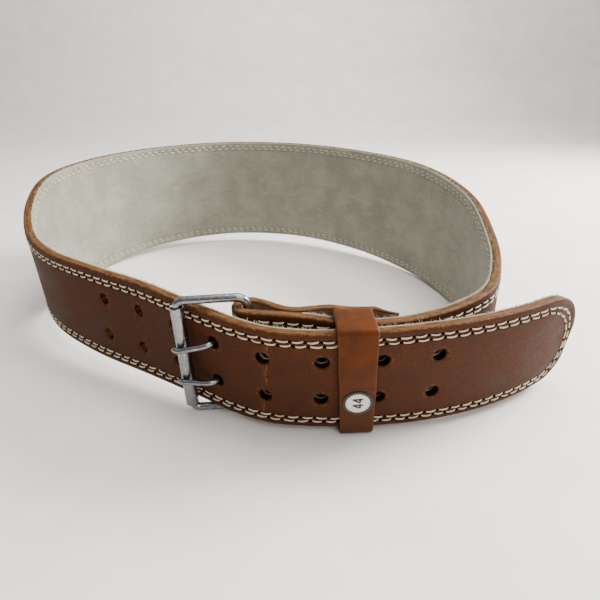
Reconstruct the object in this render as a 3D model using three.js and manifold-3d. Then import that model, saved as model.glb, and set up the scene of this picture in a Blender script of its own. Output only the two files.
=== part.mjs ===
// A leather weightlifting belt with a double-prong roller buckle, fastened into a loop and standing on its
// lower edge. Millimetres, +Z up, the buckle towards -Y and the rounded end of the tongue towards +X.
import * as THREE from "three";
import { mergeVertices } from "three/addons/utils/BufferGeometryUtils.js";
import Module from "manifold-3d";

const wasm = await Module();
wasm.setup();

// The loop as it stands, over the strap's outer face.
const LOOP_WIDTH = 337.6;
const LOOP_DEPTH = 359;

// The strap.
const BACK_HEIGHT = 102;
const FRONT_HEIGHT = 58.8;
const BUCKLE_END_HEIGHT = 57;
const TONGUE_DROP = 1.9;
const BUCKLE_END_RISE = 0.4;
const LEATHER = 4.9;
const EDGE_BEVEL = 0.9;
const INNER_BEVEL = 0.4;
const LINING = 1.1;
const LINING_INSET = 0.5;
const SEAT_GAP = 0.3;

// The rounded end of the tongue: how far each corner's rounding reaches along and across the strap.
const TIP_UPPER_REACH = 36;
const TIP_UPPER_DROP = 33;
const TIP_LOWER_REACH = 16;
const TIP_LOWER_DROP = 17;

// Pairs of prong holes, from the tip.
const HOLE_PAIRS = 8;
const FIRST_HOLE = 100.5;
const HOLE_PITCH = 28.6;
const HOLE_ROWS = 23.4;
const HOLE_DIAMETER = 7;
const FASTENED_PAIR = 5;

// The buckle end lies behind the tongue, folds round the hinge bar and comes back as a flap.
const KEEPER_GAP = 2.2;
const BULGE_GAP = 6.6;
const FOLD_GAP = 1.5;
const FOLD_RADIUS = 8.5;
const FOLD_FROM_TIP = 203;
const FOLD_LEAN = 1;
const FLAP_LENGTH = 79;
const FLAP_PINCH = 22;
const FLAP_PLAY = 0.7;
const FLAP_SKIVE = 18;
const FLAP_END = 1.6;
const LINING_STOP = 28;

// The buckle: one bent wire, a roller on its outer bar and two prongs on its hinge bar.
const WIRE = 4.4;
const WIRE_BEND = 3.6;
const HINGE_BEND = 4.6;
const WIRE_BUTT = 0.4;
const FRAME_REACH = 34.9;
const FRAME_PLAY_ABOVE = 2.4;
const FRAME_PLAY_BELOW = 0.35;
const FRAME_TURN = 1.6;
const ROLLER_WALL = 0.6;
const ROLLER_PLAY = 0.7;
const ROLLER_OVERHANG = 0.3;
const ROLLER_STAND = 1.3;
const PRONG = 3.1;
const PRONG_PLAY = 0.5;
const PRONG_WRAP = 56;
const UPPER_PRONG_DROP = 4.6;
const LOWER_PRONG_DROP = 1;
const SLOT_PLAY = 0.7;

// The keeper loop and the round size label on it.
const KEEPER_FROM_TIP = 140.7;
const KEEPER_WIDTH = 18.2;
const KEEPER_TAPER = 1.7;
const KEEPER_LEATHER = 2.4;
const KEEPER_PLAY = 0.8;
const KEEPER_CORNER = 3.4;
const KEEPER_SKEW = 3.1;
const LABEL_DIAMETER = 15.2;
const LABEL_THICKNESS = 0.4;
const LABEL_DROP = 11.5;

// How finely the curved pieces are faceted.
const LOOP_STEP = 13;
const FRONT_STEP = 6;
const TIP_STEPS = 8;
const FOLD_STEPS = 9;
const ROUND_SIDES = 16;
const WIRE_SIDES = 9;
const WIRE_STEP = 2.2;
const PRONG_STEPS = 24;

// The strap seen from above, from the tongue's tip over the front, the left side, the back and the right side
// to where the buckle end turns in behind the tongue. across and along are shares of the loop's width and depth,
// lean is the outward lean of the face in degrees, and rise is the share of the way from the front's height to
// the back's.
const SECTIONS = [
  { across: 0.577, along: 0.141, lean: 4.5, rise: 0.06 },
  { across: 0.48, along: 0.078, lean: 4.8, rise: 0.06 },
  { across: 0.386, along: 0.0373, lean: 4.9, rise: 0.06 },
  { across: 0.286, along: 0.0117, lean: 5.1, rise: 0.05 },
  { across: 0.198, along: 0.0008, lean: 6, rise: 0.035 },
  { across: 0.124, along: -0.001, lean: 6.5, rise: 0.02 },
  { across: 0.0684, along: 0.0065, lean: 5.5, rise: 0.01 },
  { across: 0.0121, along: 0.0305, lean: 3.2, rise: 0 },
  { across: -0.0515, along: 0.0707, lean: 1.8, rise: 0 },
  { across: -0.1496, along: 0.1328, lean: -2, rise: 0 },
  { across: -0.2639, along: 0.1974, lean: -2.6, rise: 0 },
  { across: -0.37, along: 0.2728, lean: -0.5, rise: 0 },
  { across: -0.4428, along: 0.3602, lean: 1.8, rise: 0.1 },
  { across: -0.4861, along: 0.4635, lean: 1.8, rise: 0.55 },
  { across: -0.5, along: 0.5738, lean: 1.8, rise: 0.91 },
  { across: -0.465, along: 0.7363, lean: 1.3, rise: 1 },
  { across: -0.3451, along: 0.8934, lean: 0.9, rise: 1 },
  { across: -0.1363, along: 0.9925, lean: 0.8, rise: 1 },
  { across: 0.0972, along: 0.9747, lean: 0.7, rise: 1 },
  { across: 0.2962, along: 0.8566, lean: 0.6, rise: 1 },
  { across: 0.4372, along: 0.679, lean: -0.1, rise: 0.98 },
  { across: 0.4982, along: 0.4655, lean: -1.2, rise: 0.74 },
  { across: 0.4905, along: 0.299, lean: -2, rise: 0.29 },
  { across: 0.4624, along: 0.191, lean: -2.5, rise: 0.08 },
  { across: 0.4135, along: 0.1055, lean: -1.5, rise: 0 },
];

// The buckle end behind the tongue: from_tip is where along the tongue each place lies, gap the room between the
// tongue's lining and the strap behind it, lean as above.
const BUCKLE_END = [
  { from_tip: KEEPER_FROM_TIP - 30, gap: KEEPER_GAP, lean: 5 },
  { from_tip: KEEPER_FROM_TIP + 2, gap: KEEPER_GAP, lean: 6 },
  { from_tip: KEEPER_FROM_TIP + 26, gap: BULGE_GAP, lean: 3 },
];

const STRAP = LEATHER + SEAT_GAP + LINING;
const ROLLER_INNER = WIRE / 2 + ROLLER_PLAY;
const ROLLER_OUTER = ROLLER_INNER + ROLLER_WALL;
const radians = THREE.MathUtils.degToRad;

// Closed solids and booleans.

function solidOf(geometry) {
  const bare = geometry.clone();
  bare.deleteAttribute("normal");
  bare.deleteAttribute("uv");
  const merged = mergeVertices(bare, 1e-4);
  return new wasm.Manifold(
    new wasm.Mesh({
      numProp: 3,
      vertProperties: merged.attributes.position.array,
      triVerts: new Uint32Array(merged.index.array),
    }),
  );
}

function geometryOf(solid) {
  const mesh = solid.getMesh();
  const geometry = new THREE.BufferGeometry();
  geometry.setAttribute("position", new THREE.BufferAttribute(mesh.vertProperties, 3));
  geometry.setIndex(new THREE.BufferAttribute(mesh.triVerts, 1));
  geometry.computeVertexNormals();
  return geometry;
}

// A closed body through rings of points that all have as many corners, each ring convex. Every face between two
// rings is split from its upper corner here to its lower corner ahead, so that bodies laid on each other follow
// each other's twist.
function loft(rings) {
  const corners = rings[0].length;
  const positions = rings.flat().flatMap((p) => [p.x, p.y, p.z]);
  const faces = [];
  for (let ring = 0; ring + 1 < rings.length; ring++) {
    for (let corner = 0; corner < corners; corner++) {
      const next = (corner + 1) % corners;
      const here = ring * corners;
      const ahead = here + corners;
      const rising = rings[ring][next].z > rings[ring][corner].z;
      if (rising) {
        faces.push(here + corner, here + next, ahead + corner);
        faces.push(here + next, ahead + next, ahead + corner);
      } else {
        faces.push(here + corner, here + next, ahead + next);
        faces.push(here + corner, ahead + next, ahead + corner);
      }
    }
  }
  const last = (rings.length - 1) * corners;
  for (let corner = 1; corner + 1 < corners; corner++) {
    faces.push(0, corner + 1, corner);
    faces.push(last, last + corner, last + corner + 1);
  }
  const geometry = new THREE.BufferGeometry();
  geometry.setAttribute("position", new THREE.Float32BufferAttribute(positions, 3));
  geometry.setIndex(faces);
  return geometry;
}

// The strap's path, seen from above.

// Smooth values between the rows of a table, by the distance along them.
function between(rows, names) {
  const places = [0];
  for (let i = 1; i < rows.length; i++) {
    places.push(places[i - 1] + Math.hypot(rows[i].x - rows[i - 1].x, rows[i].y - rows[i - 1].y));
  }
  const values = rows.flatMap((row) => names.map((name) => row[name]));
  const curve = new THREE.CubicInterpolant(places, values, names.length);
  return {
    length: places[places.length - 1],
    at: (place) => Object.fromEntries(Array.from(curve.evaluate(place), (v, i) => [names[i], v])),
  };
}

// A path as close stations with their distance from the tip, and the frame of the strap at any distance.
function pathOf(stations) {
  let run = 0;
  const marked = stations.map((station, i) => {
    const before = stations[Math.max(i - 1, 0)];
    run += Math.hypot(station.x - before.x, station.y - before.y);
    return { ...station, run };
  });
  const frameAt = (place) => {
    let i = marked.findIndex((station) => station.run >= place);
    i = Math.min(Math.max(i < 0 ? marked.length - 1 : i, 1), marked.length - 1);
    const a = marked[i - 1];
    const b = marked[i];
    const share = THREE.MathUtils.clamp((place - a.run) / (b.run - a.run || 1), 0, 1);
    const mix = (name) => THREE.MathUtils.lerp(a[name], b[name], share);
    const from = marked[Math.max(i - 2, 0)];
    const to = marked[Math.min(i + 1, marked.length - 1)];
    const tangent = new THREE.Vector2(to.x - from.x, to.y - from.y).normalize();
    const normal = new THREE.Vector2(-tangent.y, tangent.x);
    const values = { x: mix("x"), y: mix("y"), lean: mix("lean"), height: mix("height"), middle: mix("middle") };
    return { ...values, tangent, normal };
  };
  return { length: run, frameAt };
}

// A point of the strap: out from its outer face along the normal, and up from the middle of the buckle's height.
function pointAt(frame, out, up) {
  const sideways = out + up * Math.sin(radians(frame.lean));
  return new THREE.Vector3(
    frame.x + frame.normal.x * sideways,
    frame.y + frame.normal.y * sideways,
    up * Math.cos(radians(frame.lean)),
  );
}

const sections = SECTIONS.map((row, i) => ({
  x: row.across * LOOP_WIDTH,
  y: row.along * LOOP_DEPTH,
  lean: row.lean,
  height: THREE.MathUtils.lerp(FRONT_HEIGHT, BACK_HEIGHT, row.rise),
  middle: THREE.MathUtils.lerp(-TONGUE_DROP, BUCKLE_END_RISE, i / (SECTIONS.length - 1)),
}));

function stationsOf(rows) {
  const curve = between(rows, ["x", "y", "lean", "height", "middle"]);
  const count = Math.ceil(curve.length / 2);
  return Array.from({ length: count + 1 }, (_, i) => curve.at((curve.length * i) / count));
}

const tongue = pathOf(stationsOf(sections));

// The highest and lowest edge of both ends of the strap, where the tongue passes between two places.
function edgesBetween(from, to) {
  let top = BUCKLE_END_RISE + BUCKLE_END_HEIGHT / 2;
  let bottom = BUCKLE_END_RISE - BUCKLE_END_HEIGHT / 2;
  for (let share = 0; share <= 1; share += 0.125) {
    const frame = tongue.frameAt(THREE.MathUtils.lerp(from, to, share));
    top = Math.max(top, frame.middle + frame.height / 2);
    bottom = Math.min(bottom, frame.middle - frame.height / 2);
  }
  return { top, bottom };
}

const underFrame = edgesBetween(FOLD_FROM_TIP - FOLD_RADIUS, FOLD_FROM_TIP + FRAME_REACH);
const inKeeper = edgesBetween(KEEPER_FROM_TIP - KEEPER_WIDTH / 2, KEEPER_FROM_TIP + KEEPER_WIDTH / 2);
const frameTop = underFrame.top + FRAME_PLAY_ABOVE + WIRE / 2;
const frameBottom = underFrame.bottom - FRAME_PLAY_BELOW - WIRE / 2;

// The places behind the tongue, then the start of the fold round the hinge bar.
function behind(place, depth, lean) {
  const frame = tongue.frameAt(place);
  return {
    x: frame.x - frame.normal.x * depth,
    y: frame.y - frame.normal.y * depth,
    lean,
    height: BUCKLE_END_HEIGHT,
    middle: BUCKLE_END_RISE,
  };
}

const bulge = BUCKLE_END.map((row) => behind(row.from_tip, STRAP + row.gap, row.lean));
const fold = behind(FOLD_FROM_TIP, STRAP + FOLD_GAP + FOLD_RADIUS, FOLD_LEAN);
const towardsFold = new THREE.Vector2(
  fold.x - bulge[bulge.length - 1].x,
  fold.y - bulge[bulge.length - 1].y,
);
const foldDistance = towardsFold.length();
const foldAngle = towardsFold.angle() + Math.asin(FOLD_RADIUS / foldDistance) * 0.5;
const foldAhead = new THREE.Vector2(Math.cos(foldAngle), Math.sin(foldAngle));
const foldOut = new THREE.Vector2(-foldAhead.y, foldAhead.x);
const foldStart = {
  ...fold,
  x: fold.x + foldOut.x * FOLD_RADIUS,
  y: fold.y + foldOut.y * FOLD_RADIUS,
};
const loopStations = stationsOf([...sections, ...bulge, foldStart]);
const loop = pathOf(loopStations);

const foldStations = Array.from({ length: FOLD_STEPS }, (_, i) => {
  const turn = (Math.PI * (i + 1)) / FOLD_STEPS;
  return {
    ...fold,
    x: fold.x + FOLD_RADIUS * (foldOut.x * Math.cos(turn) + foldAhead.x * Math.sin(turn)),
    y: fold.y + FOLD_RADIUS * (foldOut.y * Math.cos(turn) + foldAhead.y * Math.sin(turn)),
  };
});

// The flap's outer face lies this far behind the outer face of the strap that it comes back along.
function flapDepth(back) {
  const step = THREE.MathUtils.smoothstep;
  const mix = THREE.MathUtils.lerp;
  const pinched = 2 * LEATHER + FLAP_PLAY;
  const overKeeper = keeperDepth() - STRAP - KEEPER_GAP + KEEPER_LEATHER + 2 * FLAP_PLAY + LEATHER;
  const atEnd = STRAP + FLAP_PLAY + FLAP_END;
  const keeperFrom = keeperBack - keeperSpan / 2 - 1;
  const keeperTo = keeperBack + keeperSpan / 2 + 1;
  if (back < FLAP_PINCH) return mix(2 * FOLD_RADIUS, pinched, step(back, WIRE, FLAP_PINCH));
  if (back < keeperFrom) return mix(pinched, overKeeper, step(back, FLAP_PINCH, keeperFrom));
  return mix(overKeeper, atEnd, step(back, keeperTo, FLAP_LENGTH));
}

function flapThickness(back) {
  const share = THREE.MathUtils.smoothstep(back, FLAP_LENGTH - FLAP_SKIVE, FLAP_LENGTH);
  return THREE.MathUtils.lerp(LEATHER, FLAP_END, share);
}

const keeperFrame = tongue.frameAt(KEEPER_FROM_TIP);

// The place on the strap behind the tongue that lies straight behind a place along the tongue.
function placeBehind(frame) {
  let place = loop.length;
  while (place > loop.length - 2 * FLAP_LENGTH) {
    const here = loop.frameAt(place);
    if ((here.x - frame.x) * frame.tangent.x + (here.y - frame.y) * frame.tangent.y < 0) return place;
    place -= 0.25;
  }
  return place;
}

const keeperBack = loop.length - placeBehind(keeperFrame);
const keeperSpan = KEEPER_WIDTH + KEEPER_SKEW + KEEPER_TAPER / 2;

// How deep behind the tongue's outer face the keeper must reach, so that both straps pass through it.
function keeperDepth() {
  let depth = 0;
  for (let step = -1; step <= 1; step += 0.25) {
    const frame = loop.frameAt(loop.length - keeperBack + (step * keeperSpan) / 2);
    for (const up of [inKeeper.bottom, inKeeper.top]) {
      const point = pointAt(frame, -STRAP, up);
      const level = pointAt(keeperFrame, 0, up);
      const back = (level.x - point.x) * keeperFrame.normal.x + (level.y - point.y) * keeperFrame.normal.y;
      depth = Math.max(depth, back);
    }
  }
  return depth + KEEPER_PLAY;
}

const flapStations = Array.from({ length: Math.round(FLAP_LENGTH / 3) }, (_, i, all) => {
  const back = (FLAP_LENGTH * (i + 1)) / Math.round(FLAP_LENGTH / 3);
  const frame = loop.frameAt(loop.length - back);
  return {
    x: frame.x - frame.normal.x * flapDepth(back),
    y: frame.y - frame.normal.y * flapDepth(back),
    lean: -frame.lean,
    height: BUCKLE_END_HEIGHT,
    middle: BUCKLE_END_RISE,
  };
});
const whole = pathOf([...loopStations, ...foldStations, ...flapStations]);
const foldLength = Math.PI * FOLD_RADIUS;

// The strap: one long piece of leather, with the holes for the prongs and the slots that they swing in.

// How far the edges stand above and below the middle, with the tongue's end rounded.
function edgesAt(place, frame, inset) {
  const half = frame.height / 2;
  const corner = (reach, drop) => {
    const share = THREE.MathUtils.clamp(1 - (place - inset) / reach, 0, 1);
    return half - drop * (1 - Math.sqrt(1 - share * share)) - inset;
  };
  return {
    top: frame.middle + corner(TIP_UPPER_REACH, TIP_UPPER_DROP),
    bottom: frame.middle - corner(TIP_LOWER_REACH, TIP_LOWER_DROP),
  };
}

function strapPlaces() {
  const places = [];
  for (let i = 0; i < TIP_STEPS; i++) {
    places.push(TIP_UPPER_REACH * (1 - Math.cos((Math.PI / 2) * (i / TIP_STEPS))));
  }
  const fine = (from, to, step) => {
    const count = Math.max(Math.round((to - from) / step), 1);
    for (let i = 0; i < count; i++) places.push(from + ((to - from) * i) / count);
  };
  const leftSide = FIRST_HOLE + HOLE_PITCH * HOLE_PAIRS;
  fine(TIP_UPPER_REACH, leftSide, FRONT_STEP);
  fine(leftSide, loop.length - FLAP_LENGTH * 2, LOOP_STEP);
  fine(loop.length - FLAP_LENGTH * 2, loop.length, FRONT_STEP);
  fine(loop.length, loop.length + foldLength, foldLength / FOLD_STEPS);
  fine(loop.length + foldLength, whole.length, FRONT_STEP / 1.5);
  places.push(whole.length);
  return places;
}

function bevelled(frame, top, bottom, thickness) {
  const bevel = Math.min(EDGE_BEVEL, thickness / 3);
  const inner = Math.min(INNER_BEVEL, thickness / 4);
  return [
    [0, bottom + bevel],
    [0, top - bevel],
    [-bevel, top],
    [-thickness + inner, top],
    [-thickness, top - inner],
    [-thickness, bottom + inner],
    [-thickness + inner, bottom],
    [-bevel, bottom],
  ].map(([out, up]) => pointAt(frame, out, up));
}

function strapBody() {
  const flapStart = whole.length - FLAP_LENGTH;
  const rings = strapPlaces().map((place) => {
    const frame = whole.frameAt(place);
    const { top, bottom } = edgesAt(place, frame, 0);
    const thickness = place > flapStart ? flapThickness(place - flapStart) : LEATHER;
    return bevelled(frame, top, bottom, thickness);
  });
  return solidOf(loft(rings));
}

function liningBody() {
  const start = LINING_INSET;
  const stop = loop.length - LINING_STOP;
  const places = [start, ...strapPlaces().filter((place) => place > start + 0.1 && place < stop)];
  const rings = places.map((place) => {
    const frame = loop.frameAt(place);
    const { top, bottom } = edgesAt(place, frame, LINING_INSET);
    const near = -LEATHER - SEAT_GAP;
    const far = near - LINING;
    return [
      [near, bottom],
      [near, top],
      [far, top],
      [far, bottom],
    ].map(([out, up]) => pointAt(frame, out, up));
  });
  return solidOf(loft(rings));
}

// Turns a shape whose own x, y and z run along three given directions, and moves it to a place.
function placed(geometry, x, y, z, origin) {
  return geometry.applyMatrix4(new THREE.Matrix4().makeBasis(x, y, z).setPosition(origin));
}

function upOf(frame) {
  const lean = radians(frame.lean);
  return new THREE.Vector3(frame.normal.x * Math.sin(lean), frame.normal.y * Math.sin(lean), Math.cos(lean));
}

function flat(vector) {
  return new THREE.Vector3(vector.x, vector.y, 0);
}

function holePunches() {
  const punches = [];
  const rim = 1.5;
  const length = STRAP + rim + SEAT_GAP;
  for (let pair = 0; pair < HOLE_PAIRS; pair++) {
    for (const side of [-1, 1]) {
      const frame = whole.frameAt(FIRST_HOLE + pair * HOLE_PITCH);
      const centre = pointAt(frame, rim - length / 2, (side * HOLE_ROWS) / 2);
      const punch = new THREE.CylinderGeometry(HOLE_DIAMETER / 2, HOLE_DIAMETER / 2, length, ROUND_SIDES);
      const along = flat(frame.tangent);
      const up = upOf(frame);
      const out = new THREE.Vector3().crossVectors(up, along).normalize();
      punches.push(solidOf(placed(punch, along, out, new THREE.Vector3().crossVectors(along, out), centre)));
    }
  }
  return wasm.Manifold.union(punches);
}

// The buckle, in its own directions: reach from the hinge bar to the roller, out towards the front.

const hinge = new THREE.Vector3(fold.x, fold.y, 0);

// The roller stands in front of the tongue, as far from the hinge bar as the frame reaches.
function rollerPlace() {
  const stand = ROLLER_OUTER + ROLLER_STAND;
  let best = null;
  for (let place = FOLD_FROM_TIP; place < FOLD_FROM_TIP + 3 * FRAME_REACH; place += 0.25) {
    const centre = pointAt(whole.frameAt(place), stand, 0);
    const miss = Math.abs(Math.hypot(centre.x - hinge.x, centre.y - hinge.y) - FRAME_REACH);
    if (!best || miss < best.miss) best = { centre, miss };
  }
  return best.centre;
}

// The frame hangs in the fold with its top turned a little towards the roller.
const upright = upOf({ normal: foldOut, lean: FOLD_LEAN });
const inward = new THREE.Vector3().subVectors(rollerPlace(), hinge).cross(upright).normalize();
const outward = inward.clone().negate();
const turn = new THREE.Matrix4().makeRotationAxis(outward, radians(FRAME_TURN));
upright.applyMatrix4(turn);
const reach = new THREE.Vector3().crossVectors(upright, inward);

function inFrame(along, out, up) {
  return hinge
    .clone()
    .addScaledVector(reach, along)
    .addScaledVector(outward, out)
    .addScaledVector(upright, up);
}

// A round wire along points, as a closed bar.
function wireBody(points, diameter, steps, sides) {
  const outline = new THREE.Shape(
    Array.from({ length: sides }, (_, i) => {
      const turn = (2 * Math.PI * (i + 0.5)) / sides;
      return new THREE.Vector2((Math.cos(turn) * diameter) / 2, (Math.sin(turn) * diameter) / 2);
    }),
  );
  const route = points instanceof THREE.Curve ? points : new THREE.CatmullRomCurve3(points);
  return solidOf(
    new THREE.ExtrudeGeometry(outline, { steps, extrudePath: route, bevelEnabled: false, curveSegments: 1 }),
  );
}

// The frame's wire starts and ends in a butt joint half-way up the hinge bar, inside the fold.
function frameRoute() {
  const route = new THREE.CurvePath();
  const corner = (bend, along, up, fromAlong, fromUp, toAlong, toUp) =>
    new THREE.QuadraticBezierCurve3(
      inFrame(along + fromAlong * bend, 0, up + fromUp * bend),
      inFrame(along + (fromAlong + toAlong) * 0.16 * bend, 0, up + (fromUp + toUp) * 0.16 * bend),
      inFrame(along + toAlong * bend, 0, up + toUp * bend),
    );
  const corners = [
    corner(HINGE_BEND, 0, frameTop, 0, -1, 1, 0),
    corner(WIRE_BEND, FRAME_REACH, frameTop, -1, 0, 0, -1),
    corner(WIRE_BEND, FRAME_REACH, frameBottom, 0, 1, -1, 0),
    corner(HINGE_BEND, 0, frameBottom, 1, 0, 0, 1),
  ];
  let from = inFrame(0, 0, WIRE_BUTT / 2);
  for (const bend of corners) {
    route.add(new THREE.LineCurve3(from, bend.v0));
    route.add(bend);
    from = bend.v2;
  }
  route.add(new THREE.LineCurve3(from, inFrame(0, 0, -WIRE_BUTT / 2)));
  return route;
}

function frameBody() {
  const route = frameRoute();
  return wireBody(route, WIRE, Math.round(route.getLength() / WIRE_STEP), WIRE_SIDES);
}

function rollerBody() {
  const half = (frameTop - frameBottom) / 2 - WIRE_BEND + ROLLER_OVERHANG;
  const profile = [
    new THREE.Vector2(ROLLER_INNER, -half),
    new THREE.Vector2(ROLLER_OUTER, -half),
    new THREE.Vector2(ROLLER_OUTER, half),
    new THREE.Vector2(ROLLER_INNER, half),
    new THREE.Vector2(ROLLER_INNER, -half),
  ];
  const tube = new THREE.LatheGeometry(profile, ROUND_SIDES);
  const centre = inFrame(FRAME_REACH, 0, (frameTop + frameBottom) / 2);
  return solidOf(placed(tube, reach, upright, inward, centre));
}

const holeFrame = whole.frameAt(FIRST_HOLE + (FASTENED_PAIR - 1) * HOLE_PITCH);

// A point in the buckle's own directions.
function local(point) {
  const offset = point.clone().sub(hinge);
  return { along: offset.dot(reach), out: offset.dot(outward), up: offset.dot(upright) };
}

// How high on the hinge bar the prong of a row of holes sits.
function prongHeight(side) {
  return local(pointAt(holeFrame, -STRAP / 2, (side * HOLE_ROWS) / 2)).up;
}

// A prong: an eye round the hinge bar, a rise through the tongue's hole and a tip bent over the roller.
function prongBody(side, drop) {
  const eye = WIRE / 2 + PRONG_PLAY + PRONG / 2;
  const overRoller = ROLLER_OUTER + PRONG_PLAY + PRONG / 2;
  const height = prongHeight(side);
  const hole = pointAt(holeFrame, 0, (side * HOLE_ROWS) / 2);
  const through = flat(holeFrame.normal);
  const inner = local(hole.clone().addScaledVector(through, -STRAP - 1));
  const middle = local(hole.clone().addScaledVector(through, -STRAP / 2));
  const outer = local(hole.clone().addScaledVector(through, 1));
  const points = [];
  for (let turn = 110; turn <= 290; turn += 45) {
    points.push([eye * Math.cos(radians(turn)), eye * Math.sin(radians(turn))]);
  }
  points.push([eye * 0.6, -eye * 1.02]);
  points.push([inner.along - PRONG, inner.out - PRONG * 0.5]);
  points.push([middle.along, middle.out]);
  points.push([outer.along + PRONG, outer.out + PRONG * 0.3]);
  for (const share of [0, 0.5, 1]) {
    const turn = radians(PRONG_WRAP * share);
    points.push([FRAME_REACH + overRoller * Math.sin(turn), overRoller * Math.cos(turn)]);
  }
  const route = points.map(([along, out]) => {
    const share = THREE.MathUtils.smoothstep(along, outer.along, FRAME_REACH);
    return inFrame(along, out, height - drop * share);
  });
  return wireBody(route, PRONG, PRONG_STEPS, WIRE_SIDES);
}

// Slots through the fold, one for each prong, as tall as the prong's wire with room on both sides.
function foldSlots() {
  const eyeReach = WIRE / 2 + PRONG_PLAY + PRONG + SLOT_PLAY;
  const width = eyeReach + 2 * FOLD_RADIUS;
  const slots = [-1, 1].map((side) => {
    const box = new THREE.BoxGeometry(width, 2 * (FOLD_RADIUS + LEATHER), PRONG + 2 * SLOT_PLAY);
    const centre = inFrame(width / 2 - eyeReach, 0, prongHeight(side));
    box.rotateX(Math.PI / 2);
    return solidOf(placed(box, reach, upright, inward, centre));
  });
  return slots;
}

// The keeper: a leather loop round the tongue and the strap behind it, and the label on its front.

function roundedRectangle(path, left, right, bottom, top, radius) {
  path.moveTo(left + radius, bottom);
  path.lineTo(right - radius, bottom);
  path.absarc(right - radius, bottom + radius, radius, -Math.PI / 2, 0);
  path.lineTo(right, top - radius);
  path.absarc(right - radius, top - radius, radius, 0, Math.PI / 2);
  path.lineTo(left + radius, top);
  path.absarc(left + radius, top - radius, radius, Math.PI / 2, Math.PI);
  path.lineTo(left, bottom + radius);
  path.absarc(left + radius, bottom + radius, radius, Math.PI, 1.5 * Math.PI);
  return path;
}

// Puts a shape drawn in the keeper's section on the belt: x out from the tongue's face, y up, z along the strap,
// with the loop's slight skew.
function onKeeper(geometry) {
  geometry.applyMatrix4(new THREE.Matrix4().makeShear(0, 0, 0, KEEPER_SKEW / FRONT_HEIGHT, 0, 0));
  const out = flat(keeperFrame.normal);
  const up = upOf(keeperFrame);
  const along = flat(keeperFrame.tangent);
  return placed(geometry, out, up, along, new THREE.Vector3(keeperFrame.x, keeperFrame.y, 0));
}

function keeperBody() {
  const front = KEEPER_PLAY;
  const back = -keeperDepth();
  const bottom = inKeeper.bottom - KEEPER_PLAY;
  const top = inKeeper.top + KEEPER_PLAY;
  const wall = KEEPER_LEATHER;
  const inner = KEEPER_CORNER - KEEPER_LEATHER;
  const section = roundedRectangle(
    new THREE.Shape(),
    back - wall,
    front + wall,
    bottom - wall,
    top + wall,
    KEEPER_CORNER,
  );
  section.holes.push(roundedRectangle(new THREE.Path(), back, front, bottom, top, inner));
  const loopShape = new THREE.ExtrudeGeometry(section, {
    depth: KEEPER_WIDTH,
    bevelEnabled: false,
    curveSegments: 4,
  });
  loopShape.translate(0, 0, -KEEPER_WIDTH / 2);
  // The loop is a little wider at its top than at its bottom.
  const points = loopShape.attributes.position;
  for (let i = 0; i < points.count; i++) {
    const share = points.getZ(i) / KEEPER_WIDTH;
    points.setZ(i, points.getZ(i) + (share * KEEPER_TAPER * points.getY(i)) / FRONT_HEIGHT);
  }
  return solidOf(onKeeper(loopShape));
}

function labelBody() {
  const disc = new THREE.CylinderGeometry(LABEL_DIAMETER / 2, LABEL_DIAMETER / 2, LABEL_THICKNESS, 2 * ROUND_SIDES);
  disc.rotateZ(-Math.PI / 2);
  disc.translate(KEEPER_PLAY + KEEPER_LEATHER + SEAT_GAP + LABEL_THICKNESS / 2, -LABEL_DROP, 0);
  return solidOf(onKeeper(disc));
}

// The finished belt, leaning by its tilt and set down on the surface.

const leatherBrown = new THREE.MeshStandardMaterial({ color: "#6b3f22", roughness: 0.55, metalness: 0 });
const keeperBrown = new THREE.MeshStandardMaterial({ color: "#734322", roughness: 0.5, metalness: 0 });
const suedeGrey = new THREE.MeshStandardMaterial({ color: "#b9b8a8", roughness: 0.95, metalness: 0 });
const zincPlate = new THREE.MeshStandardMaterial({ color: "#a9abad", roughness: 0.3, metalness: 1 });
const labelWhite = new THREE.MeshStandardMaterial({ color: "#d8d4c8", roughness: 0.45, metalness: 0 });

function named(name, solid, material) {
  const mesh = new THREE.Mesh(geometryOf(solid), material);
  mesh.name = name;
  return mesh;
}

const punches = holePunches();
const pieces = [
  named("strap", foldSlots().reduce((body, slot) => body.subtract(slot), strapBody().subtract(punches)), leatherBrown),
  named("lining", liningBody().subtract(punches), suedeGrey),
  named("keeper_loop", keeperBody(), keeperBrown),
  named("size_label", labelBody(), labelWhite),
  named("buckle_frame", frameBody(), zincPlate),
  named("roller", rollerBody(), zincPlate),
  named("prong_upper", prongBody(1, UPPER_PRONG_DROP), zincPlate),
  named("prong_lower", prongBody(-1, LOWER_PRONG_DROP), zincPlate),
];

// The strap is lower in front than at the back, so the belt leans forward until its front meets the surface too.
function restingTilt() {
  const lowest = (tilt, inFront) => {
    let least = Infinity;
    for (const piece of pieces) {
      const points = piece.geometry.attributes.position;
      for (let i = 0; i < points.count; i++) {
        if (points.getY(i) < LOOP_DEPTH / 4 !== inFront) continue;
        const z = points.getY(i) * Math.sin(tilt) + points.getZ(i) * Math.cos(tilt);
        least = Math.min(least, z);
      }
    }
    return least;
  };
  let level = radians(-20);
  let steep = radians(30);
  for (let i = 0; i < 30; i++) {
    const tilt = (level + steep) / 2;
    if (lowest(tilt, true) > lowest(tilt, false)) level = tilt;
    else steep = tilt;
  }
  return (level + steep) / 2;
}

const leaning = new THREE.Group();
leaning.rotation.x = restingTilt();
leaning.add(...pieces);
leaning.updateMatrixWorld(true);

const reached = new THREE.Box3().setFromObject(leaning, true);
const belt = new THREE.Group();
belt.add(leaning);
belt.position.set(
  -(reached.min.x + reached.max.x) / 2,
  -(reached.min.y + reached.max.y) / 2,
  -reached.min.z,
);

export default belt;
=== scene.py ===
import functools
import math

import bmesh
import bpy
import numpy as np
from mathutils import Matrix, Vector


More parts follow.
